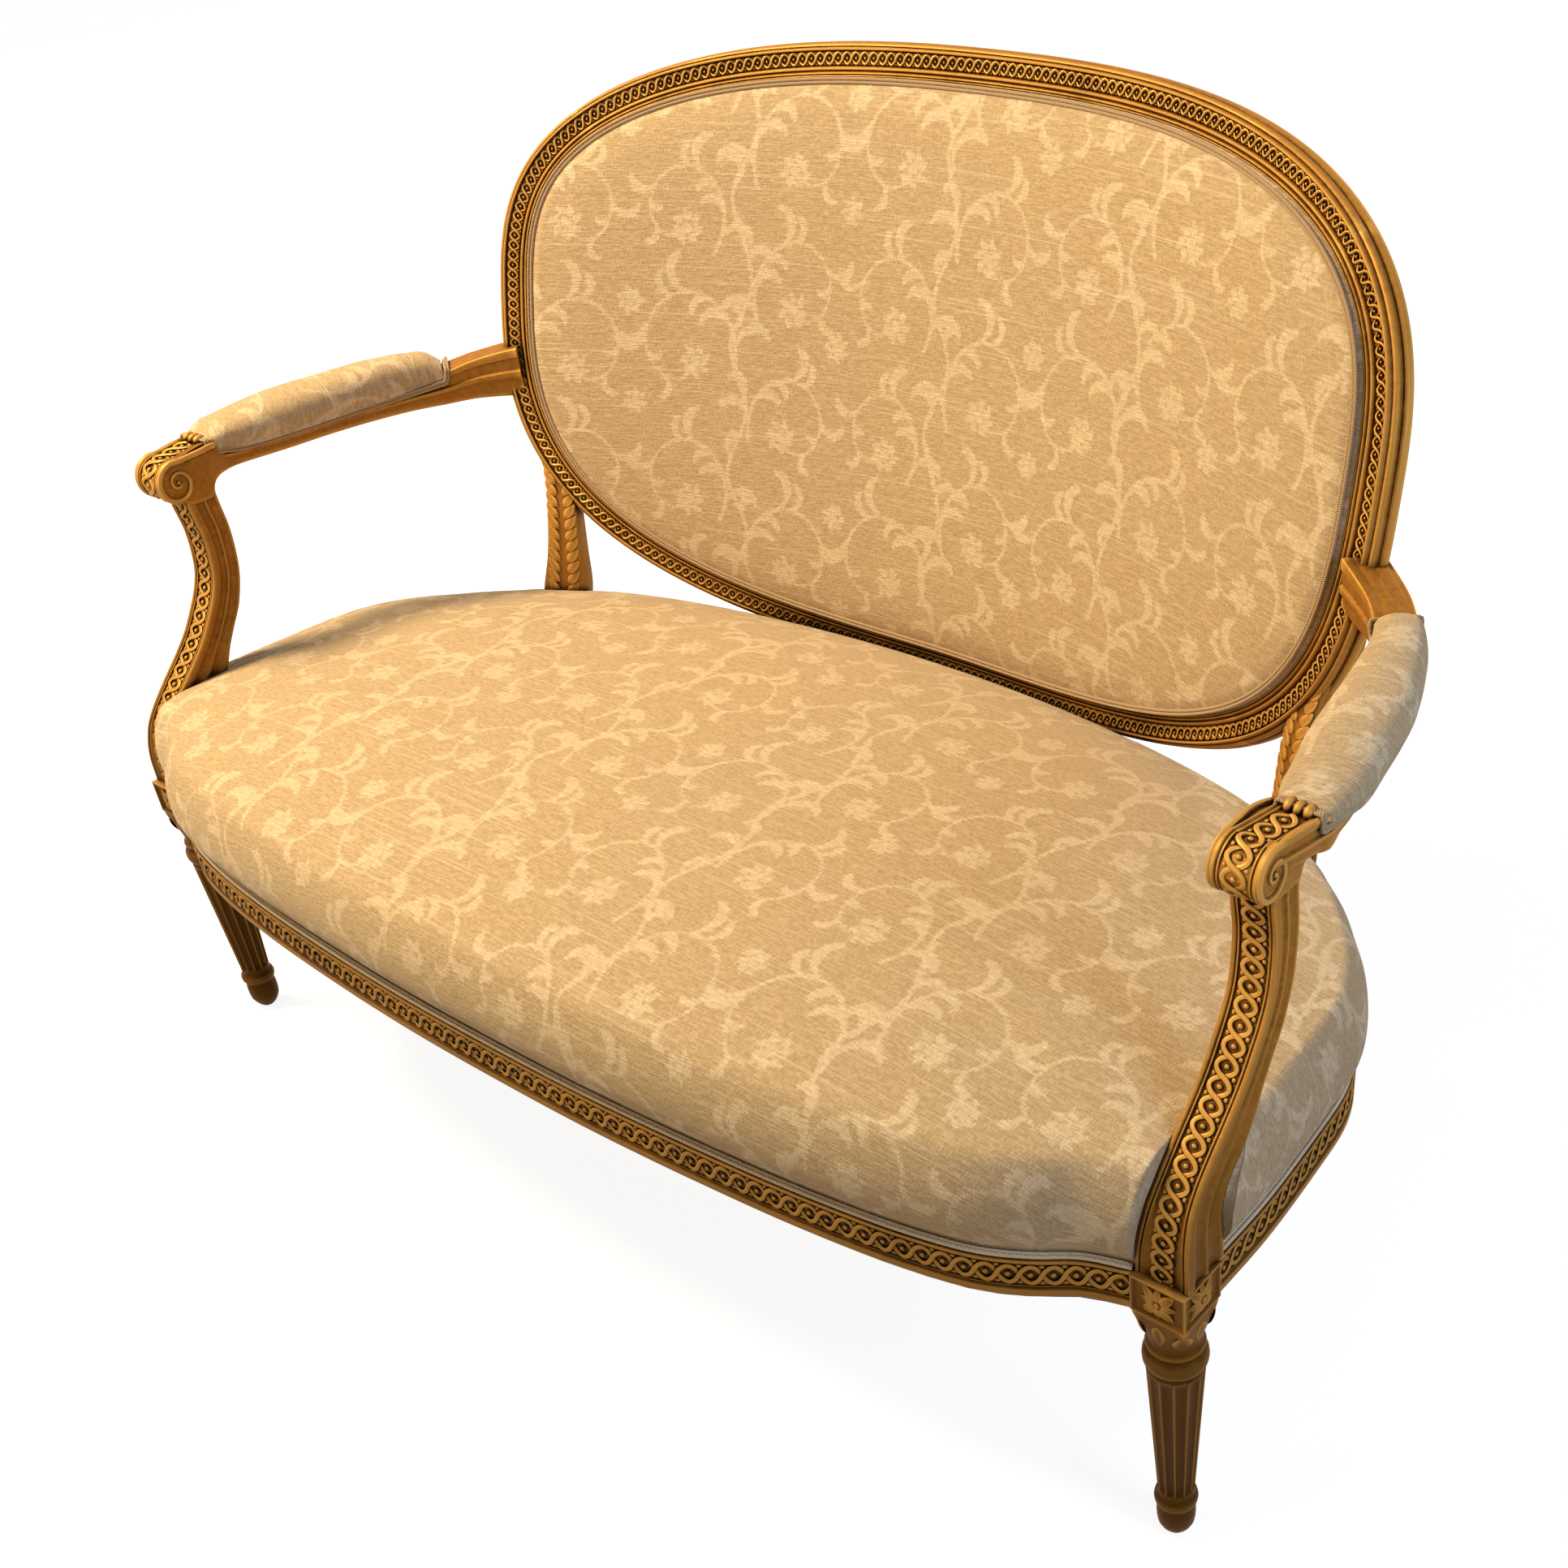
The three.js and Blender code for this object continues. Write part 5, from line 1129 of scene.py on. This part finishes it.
def padGimp():
    """along both skirts of an arm pad and over the wood at its ends"""
    shares = np.linspace(0, 1, 80)
    y = lerp(pad["frontY"] - 4, pad["rearY"] + 4, shares)
    at = np.stack([np.interp(y, armPath[:, 1], armPath[:, k]) for k in range(3)], axis=1)
    across = np.stack([np.interp(y, armPath[:, 1], armAcross[:, k]) for k in range(3)], axis=1)
    low = np.array([0, 0, 1.0]) * -9.6
    out = pad["woodHalf"] + gimp["radius"] + 0.4
    one, other = at + across * out + low, at - across * out + low
    arch = np.linspace(0, np.pi, 21)[1:-1]

    def over(k, sign):
        wide = out * np.cos(arch[:, None]) * across[k]
        tall = np.minimum(np.sin(arch) * 40, 1) * 12.0 - 9.6
        return at[k] + sign * wide + np.stack([0 * tall, 0 * tall, tall], axis=1)

    path = np.vstack([one, over(-1, 1), other[::-1], over(0, -1)])
    path = curve(path[::2], 420, closed=True)[:-1]
    tangent = unit(np.roll(path, -1, axis=0) - np.roll(path, 1, axis=0))
    centre = np.stack([np.interp(path[:, 1], armPath[:, 1], armPath[:, k]) for k in range(3)], axis=1) + [0, 0, -8]
    away = path - centre
    away = unit(away - tangent * (away * tangent).sum(axis=1, keepdims=True))
    return strands(path, unit(np.cross(tangent, away)), away, gimp["radius"], gimp["spread"], closed=True)


rightPadGimp = padGimp()
gimps = {
    "seat_gimp_front": frontGimp, "seat_gimp_side_right": sideGimp, "seat_gimp_side_left": mirroredShell(sideGimp),
    "seat_gimp_back": backGimpRail, "back_gimp": panelGimp, "arm_pad_gimp_right": rightPadGimp,
    "arm_pad_gimp_left": mirroredShell(rightPadGimp),
}
for name, shell in gimps.items():
    piece = newPiece(name + "_cord", shell)
    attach(piece, "root")
    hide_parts(name)
    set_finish(piece, "gimp_cord")

# Materials.
print("materials")


finishes = {}


def newMaterial(name):
    material = bpy.data.materials.new(name + "_finish")
    material.use_nodes = True
    finishes[name] = material
    return material.node_tree, material.node_tree.nodes["Principled BSDF"]


def make(tree, kind, inputs=None, **values):
    made = tree.nodes.new(kind)
    for key, value in values.items():
        setattr(made, key, value)
    for key, value in (inputs or {}).items():
        if isinstance(value, bpy.types.NodeSocket):
            tree.links.new(value, made.inputs[key])
        else:
            made.inputs[key].default_value = value
    return made


def math2(tree, operation, a, b=0.0, clamp=False):
    return make(tree, "ShaderNodeMath", {0: a, 1: b}, operation=operation, use_clamp=clamp).outputs[0]


def ramp(tree, value, low, high):
    """from nought at low to one at high"""
    return make(tree, "ShaderNodeMapRange", {"Value": value, "From Min": low, "From Max": high}, interpolation_type="SMOOTHSTEP").outputs[0]


def mix(tree, share, a, b, blend="MIX"):
    made = make(tree, "ShaderNodeMix", {"Factor": share}, data_type="RGBA", blend_type=blend)
    for socket, value in ((made.inputs[6], a), (made.inputs[7], b)):
        if isinstance(value, bpy.types.NodeSocket):
            tree.links.new(value, socket)
        else:
            socket.default_value = (*value, 1)
    return made.outputs[2]


def noise(tree, vector, scale, detail=3.0, roughness=0.5):
    return make(tree, "ShaderNodeTexNoise", {"Vector": vector, "Scale": scale, "Detail": detail, "Roughness": roughness}).outputs["Fac"]


def setInputs(tree, shader, values):
    for key, value in values.items():
        if isinstance(value, bpy.types.NodeSocket):
            tree.links.new(value, shader.inputs[key])
        else:
            shader.inputs[key].default_value = value


def bump(tree, height, strength, distance):
    return make(tree, "ShaderNodeBump", {"Height": height, "Strength": strength, "Distance": distance}).outputs["Normal"]


def giltwood():
    tree, shader = newMaterial("giltwood")
    place = make(tree, "ShaderNodeTexCoord").outputs["Object"]
    # Painted shade: ambient occlusion darkens the gilt in recesses, in creases and between parts.
    hollow = make(tree, "ShaderNodeAmbientOcclusion", {"Distance": 0.011}, samples=8).outputs["AO"]
    patches = noise(tree, place, 11, 5, 0.6)
    fine = noise(tree, place, 150, 4, 0.6)
    grain = noise(tree, place, 520, 2)
    wear = math2(tree, "MULTIPLY", math2(tree, "SUBTRACT", patches, 0.5), 0.7)
    speckle = math2(tree, "MULTIPLY", math2(tree, "SUBTRACT", fine, 0.5), 0.35)
    # Painted recess shade added to random wear patches and speckle; low values give the dark colour below.
    wearAndShade = math2(tree, "ADD", math2(tree, "ADD", hollow, wear), speckle)
    unshadedUnworn = ramp(tree, wearAndShade, 0.38, 1.0)
    # Painted highlight: sharp edges and ridges take a brighter gold, here and in the shaded copy below.
    edges = ramp(tree, make(tree, "ShaderNodeNewGeometry").outputs["Pointiness"], 0.51, 0.58)
    # Painted shade: the lower the gilt stands, the more it takes a darker shaded copy of itself, wholly below about
    # 0.16 m, on the legs and much of the seat rails; that copy has its own painted recess shade and edge highlights.
    height = make(tree, "ShaderNodeSeparateXYZ", {"Vector": place}).outputs["Z"]
    lowShade = ramp(tree, math2(tree, "ADD", height, math2(tree, "MULTIPLY", wear, 0.1)), 0.16, 0.60)
    goldLeaf = mix(tree, fine, (0.25, 0.095, 0.012), (0.45, 0.20, 0.033))
    leafAndHighlight = mix(tree, edges, goldLeaf, (0.66, 0.345, 0.078))
    # The dark brown is painted shade in the recesses and worn gilt in the random patches.
    colour = mix(tree, unshadedUnworn, (0.055, 0.019, 0.003), leafAndHighlight)
    shadedGilt = mix(tree, unshadedUnworn, (0.007, 0.0026, 0.0004), mix(tree, edges, (0.066, 0.025, 0.0018), (0.30, 0.145, 0.024)))
    colour = mix(tree, lowShade, shadedGilt, colour)
    rough = math2(tree, "ADD", math2(tree, "MULTIPLY", fine, 0.3), 0.34)
    setInputs(tree, shader, {
        "Base Color": colour, "Metallic": math2(tree, "ADD", math2(tree, "MULTIPLY", unshadedUnworn, 0.25), 0.10), "Roughness": rough,
        "Specular Tint": (1.0, 0.62, 0.22, 1), "Specular IOR Level": 0.12,
        "Normal": bump(tree, math2(tree, "ADD", fine, math2(tree, "MULTIPLY", grain, 0.4)), 0.5, 0.0007),
    })


def damask():
    tree, shader = newMaterial("damask")
    cloth = make(tree, "ShaderNodeUVMap", uv_map="cloth").outputs["UV"]

    def streaks(across, along, detail=2.0):
        stretched = make(tree, "ShaderNodeMapping", {"Vector": cloth, "Scale": (across, along, 1)}).outputs["Vector"]
        return noise(tree, stretched, 1, detail, 0.6)

    threads = streaks(55, 420)
    fineThreads = streaks(120, 900)
    warps = streaks(900, 160, 1)
    slubs = ramp(tree, streaks(3.6, 300, 1), 0.61, 0.66)
    deepSlubs = ramp(tree, streaks(4, 230, 1), 0.64, 0.70)
    weave = math2(tree, "ADD", math2(tree, "ADD", math2(tree, "MULTIPLY", threads, 0.3), math2(tree, "MULTIPLY", fineThreads, 0.4)),
                  math2(tree, "MULTIPLY", warps, 0.3))
    weave = ramp(tree, weave, 0.40, 0.60)
    faded = noise(tree, cloth, 5, 3)
    vine = make(tree, "ShaderNodeAttribute", attribute_name="vine").outputs["Fac"]
    ragged = math2(tree, "ADD", vine, math2(tree, "MULTIPLY", math2(tree, "SUBTRACT", weave, 0.5), 0.35))
    shown = math2(tree, "MULTIPLY", ramp(tree, ragged, 0.12, 0.92), math2(tree, "ADD", math2(tree, "MULTIPLY", faded, 0.5), 0.5))
    ground = mix(tree, weave, (0.415, 0.290, 0.145), (0.60, 0.435, 0.24))
    figure = mix(tree, weave, (0.59, 0.447, 0.262), (0.775, 0.612, 0.388))
    colour = mix(tree, shown, ground, figure)
    colour = mix(tree, math2(tree, "MULTIPLY", slubs, 0.24), colour, (0.82, 0.67, 0.47))
    colour = mix(tree, math2(tree, "MULTIPLY", deepSlubs, 0.22), colour, (0.38, 0.25, 0.125))
    height = math2(tree, "ADD", math2(tree, "MULTIPLY", weave, 0.8), math2(tree, "MULTIPLY", math2(tree, "ADD", slubs, shown), 0.35))
    setInputs(tree, shader, {
        "Base Color": colour, "Roughness": math2(tree, "SUBTRACT", 0.84, math2(tree, "MULTIPLY", shown, 0.22)), "Sheen Weight": 0.3,
        "Sheen Roughness": 0.4, "Sheen Tint": (1.0, 0.9, 0.75, 1), "Specular IOR Level": 0.25,
        "Normal": bump(tree, height, 0.6, 0.0007),
    })


def cord(name, deep, deepest, high, highest):
    tree, shader = newMaterial(name)
    cloth = make(tree, "ShaderNodeUVMap", uv_map="cloth").outputs["UV"]
    split = make(tree, "ShaderNodeSeparateXYZ", {"Vector": cloth})
    turn = math2(tree, "ADD", math2(tree, "MULTIPLY", split.outputs["X"], 1500), math2(tree, "MULTIPLY", split.outputs["Y"], 900))
    # Painted shade: the colour follows the twist, with the deep colours in the grooves between turns, where the bump
    # also sinks, and the high colours on the turns' crowns.
    twist = math2(tree, "ABSOLUTE", math2(tree, "SINE", turn))
    fibre = noise(tree, cloth, 1800, 2)
    setInputs(tree, shader, {
        "Base Color": mix(tree, twist, mix(tree, fibre, deepest, deep), mix(tree, fibre, high, highest)), "Roughness": 0.72,
        "Sheen Weight": 0.25, "Specular IOR Level": 0.3,
        "Normal": bump(tree, math2(tree, "ADD", twist, math2(tree, "MULTIPLY", fibre, 0.3)), 0.7, 0.0008),
    })


def fibreCloth(name, low, high, pitch, rough):
    """an even weave of two colours over the object's own directions"""
    tree, shader = newMaterial(name)
    place = make(tree, "ShaderNodeTexCoord").outputs["Object"]
    split = make(tree, "ShaderNodeSeparateXYZ", {"Vector": place})
    turns = 2 * math.pi / pitch
    warp = math2(tree, "SINE", math2(tree, "MULTIPLY", split.outputs["X"], turns))
    weft = math2(tree, "SINE", math2(tree, "MULTIPLY", split.outputs["Y"], turns))
    over = math2(tree, "MULTIPLY", warp, weft)
    patches = noise(tree, place, 60, 4)
    share = math2(tree, "ADD", math2(tree, "MULTIPLY", over, 0.3), patches)
    setInputs(tree, shader, {"Base Color": mix(tree, share, low, high), "Roughness": rough, "Normal": bump(tree, over, 0.6, 0.0005)})


def beech():
    tree, shader = newMaterial("beech")
    place = make(tree, "ShaderNodeTexCoord").outputs["Object"]
    stretched = make(tree, "ShaderNodeMapping", {"Vector": place, "Scale": (14, 90, 90)}).outputs["Vector"]
    rings = noise(tree, stretched, 1, 5, 0.6)
    flecks = noise(tree, make(tree, "ShaderNodeMapping", {"Vector": place, "Scale": (150, 900, 900)}).outputs["Vector"], 1, 2)
    colour = mix(tree, rings, (0.36, 0.20, 0.10), (0.58, 0.38, 0.21))
    setInputs(tree, shader, {"Base Color": mix(tree, math2(tree, "MULTIPLY", ramp(tree, flecks, 0.6, 0.7), 0.4), colour, (0.25, 0.13, 0.06)),
                             "Roughness": 0.6, "Normal": bump(tree, flecks, 0.3, 0.0003)})


def steel():
    tree, shader = newMaterial("steel")
    place = make(tree, "ShaderNodeTexCoord").outputs["Object"]
    marks = noise(tree, place, 400, 4)
    setInputs(tree, shader, {"Base Color": mix(tree, marks, (0.32, 0.31, 0.30), (0.55, 0.54, 0.52)), "Metallic": 0.95,
                             "Roughness": math2(tree, "ADD", math2(tree, "MULTIPLY", marks, 0.3), 0.25), "Normal": bump(tree, marks, 0.3, 0.0002)})


giltwood()
damask()
# The seat gimps' cord: its own warm tan raised to a pale cream, painted light on cords that lie in the shade of the
# seat's overhang; the back's and arm pads' gimps take the darker tan cord.
cord("gimp_cord", (0.56, 0.42, 0.25), (0.42, 0.31, 0.18), (0.86, 0.69, 0.45), (0.95, 0.80, 0.56))
cord("tan_cord", (0.32, 0.19, 0.085), (0.22, 0.12, 0.05), (0.52, 0.34, 0.155), (0.64, 0.44, 0.22))
fibreCloth("jute", (0.24, 0.15, 0.07), (0.50, 0.36, 0.20), 0.004, 0.9)
fibreCloth("hessian", (0.30, 0.21, 0.11), (0.56, 0.42, 0.25), 0.0016, 0.9)
fibreCloth("black_cloth", (0.008, 0.008, 0.009), (0.03, 0.03, 0.032), 0.0012, 0.85)
beech()
steel()


def finish(piece, slot):
    piece.data.materials.clear()
    piece.data.materials.append(finishes[slot])


for piece in list(bpy.context.scene.objects):
    if piece.type == "MESH" and "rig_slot" in piece:
        finish(piece, piece["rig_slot"])
nodeSlots = {
    "beech": ["corner_block_right", "corner_block_left", "back_joint_tongue_1", "back_joint_tongue_2", "back_joint_tongue_3",
              "back_joint_tongue_4", "arm_dowel_right", "arm_dowel_left"],
    "steel": ["corner_screw_right", "corner_screw_left", "back_post_screw_right", "back_post_screw_left"],
    "jute": ["seat_webbing", "back_webbing"], "hessian": ["seat_hessian"], "black_cloth": ["dust_cover"],
}
for name in ("back_gimp_cord", "arm_pad_gimp_right_cord", "arm_pad_gimp_left_cord"):
    finish(bpy.data.objects[name], "tan_cord")
for slot, names in nodeSlots.items():
    for name in names:
        piece = nodes[name]
        if not piece.material_slots:
            piece.data.materials.append(None)
        for place in piece.material_slots:
            place.link = "OBJECT"
            place.material = finishes[slot]

# The cover of the back's outside, in the same damask.
print("outside back")
outside = {"depth": 17.6, "thickness": 2.4, "out": -15.6, "crown": 3}


def outsideCover():
    columns, rows = 330, 190
    turns = [(228, 312, columns), (-48, 42, rows), (42, 138, columns), (138, 228, rows)]
    front, right, back, left = [np.stack(ovalFlat(ovalAngles(a, b, count), outside["out"]), axis=1) for a, b, count in turns]
    flat = coons(front, right, back[::-1], left[::-1]).reshape(-1, 2)
    rim = rimOrder(columns, rows)
    share = np.clip(np.hypot(flat[:, 0] / 540, (flat[:, 1] + 46) / 300), 0, 1)
    face = outside["depth"] + outside["thickness"] + outside["crown"] * (1 - share**4) * 0.6
    points = [backPlace(flat[:, 0], flat[:, 1], face)]
    loop = flat[rim]
    points.append(backPlace(loop[:, 0], loop[:, 1], np.full(len(loop), outside["depth"])))
    grid = np.arange(rows * columns).reshape(rows, columns)
    faces = np.stack([grid[:-1, :-1], grid[:-1, 1:], grid[1:, 1:], grid[1:, :-1]], axis=-1).reshape(-1, 4).tolist()
    faces += skirtFaces(rim, len(flat), 1, columns, rows)
    return np.vstack(points), faces, np.vstack([flat, loop]) * 0.001 * [-1, 1]


outsidePiece = damaskPiece("outside_cover", *outsideCover(), 60)
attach(outsidePiece, "root")
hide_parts("outside_back")
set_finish(outsidePiece, "damask")
finish(outsidePiece, "damask")

# Camera, light and floor.
print("camera, light and floor")
view = {"place": (1.25433, -1.16004, 1.41240), "yaw": 38.9186, "pitch": -37.0745, "roll": -3.3857, "focal": 2308.67, "x": 1278.67,
        "y": 1187.32, "side": 1932}
yaw, pitch, roll = (math.radians(view[key]) for key in ("yaw", "pitch", "roll"))
forward = Vector((-math.sin(yaw) * math.cos(pitch), math.cos(yaw) * math.cos(pitch), math.sin(pitch)))
levelRight = forward.cross(Vector((0, 0, 1))).normalized()
levelUp = levelRight.cross(forward)
right = math.cos(roll) * levelRight + math.sin(roll) * levelUp
up = -math.sin(roll) * levelRight + math.cos(roll) * levelUp
turnMatrix = Matrix((right, up, -forward)).transposed().to_4x4()
camera = bpy.data.objects.new("camera", bpy.data.cameras.new("camera"))
bpy.context.scene.collection.objects.link(camera)
camera.matrix_world = Matrix.Translation(view["place"]) @ turnMatrix
camera.data.sensor_width = 36
camera.data.lens = view["focal"] / view["side"] * 36
camera.data.shift_x = (view["side"] / 2 - view["x"]) / view["side"]
camera.data.shift_y = (view["y"] - view["side"] / 2) / view["side"]
camera.data.clip_start = 0.05
bpy.context.scene.camera = camera

world = bpy.data.worlds.new("studio")
bpy.context.scene.world = world
world.use_nodes = True
tree = world.node_tree
backdrop = tree.nodes["Background"]


def seenRays(tree):
    """one for rays that show the background: seen straight, in a reflection or through glass"""
    paths = make(tree, "ShaderNodeLightPath")
    seen = math2(tree, "MAXIMUM", paths.outputs["Is Camera Ray"], paths.outputs["Is Glossy Ray"])
    return math2(tree, "MAXIMUM", seen, paths.outputs["Is Transmission Ray"])


tree.links.new(mix(tree, seenRays(tree), (0.20, 0.18, 0.17), (1, 1, 1)), backdrop.inputs["Color"])

bpy.ops.mesh.primitive_plane_add(size=14)
floor = bpy.context.object
floor.name = "floor"
tree, shader = newMaterial("floor")
output = tree.nodes["Material Output"]
place = make(tree, "ShaderNodeTexCoord").outputs["Object"]
away = make(tree, "ShaderNodeVectorMath", {0: place}, operation="LENGTH").outputs["Value"]
level = math2(tree, "ADD", math2(tree, "MULTIPLY", ramp(tree, away, 0.9, 1.8), 0.12), 0.88)
glow = make(tree, "ShaderNodeEmission", {"Color": (1, 1, 1, 1), "Strength": level}).outputs[0]
pale = make(tree, "ShaderNodeBsdfDiffuse", {"Color": (0.3, 0.3, 0.3, 1)}).outputs[0]
lit = make(tree, "ShaderNodeAddShader", {0: glow, 1: pale}).outputs[0]
tone = mix(tree, noise(tree, place, 3, 4), (0.20, 0.17, 0.14), (0.24, 0.20, 0.165))
setInputs(tree, shader, {"Base Color": tone, "Roughness": 0.8})
blended = make(tree, "ShaderNodeMixShader", {0: seenRays(tree)})
tree.links.new(shader.outputs[0], blended.inputs[1])
tree.links.new(lit, blended.inputs[2])
tree.links.new(blended.outputs[0], output.inputs["Surface"])
floor.data.materials.append(finishes["floor"])


def lamp(name, place, target, size, watts, colour):
    light = bpy.data.lights.new(name, "AREA")
    light.shape = "DISK"
    light.size = size
    light.energy = watts
    light.color = colour
    holder = bpy.data.objects.new(name, light)
    bpy.context.scene.collection.objects.link(holder)
    holder.location = place
    holder.rotation_euler = (Vector(target) - Vector(place)).to_track_quat("-Z", "Y").to_euler()


lamp("key", (-1.45, -0.8, 2.7), (0, -0.05, 0.45), 1.0, 118, (1.0, 0.80, 0.51))
lamp("side", (2.0, -0.3, 1.2), (0.6, -0.05, 0.5), 0.7, 13, (0.52, 0.68, 1.0))
lamp("front", (-1.1, -3.1, 1.1), (0, 0, 0.55), 1.2, 19, (1.0, 0.82, 0.56))
lamp("rear", (0.5, 3.2, 1.6), (0, 0.2, 0.5), 1.4, 26, (0.95, 0.88, 0.80))

bpy.context.scene.view_settings.view_transform = "Standard"
print("finishing")
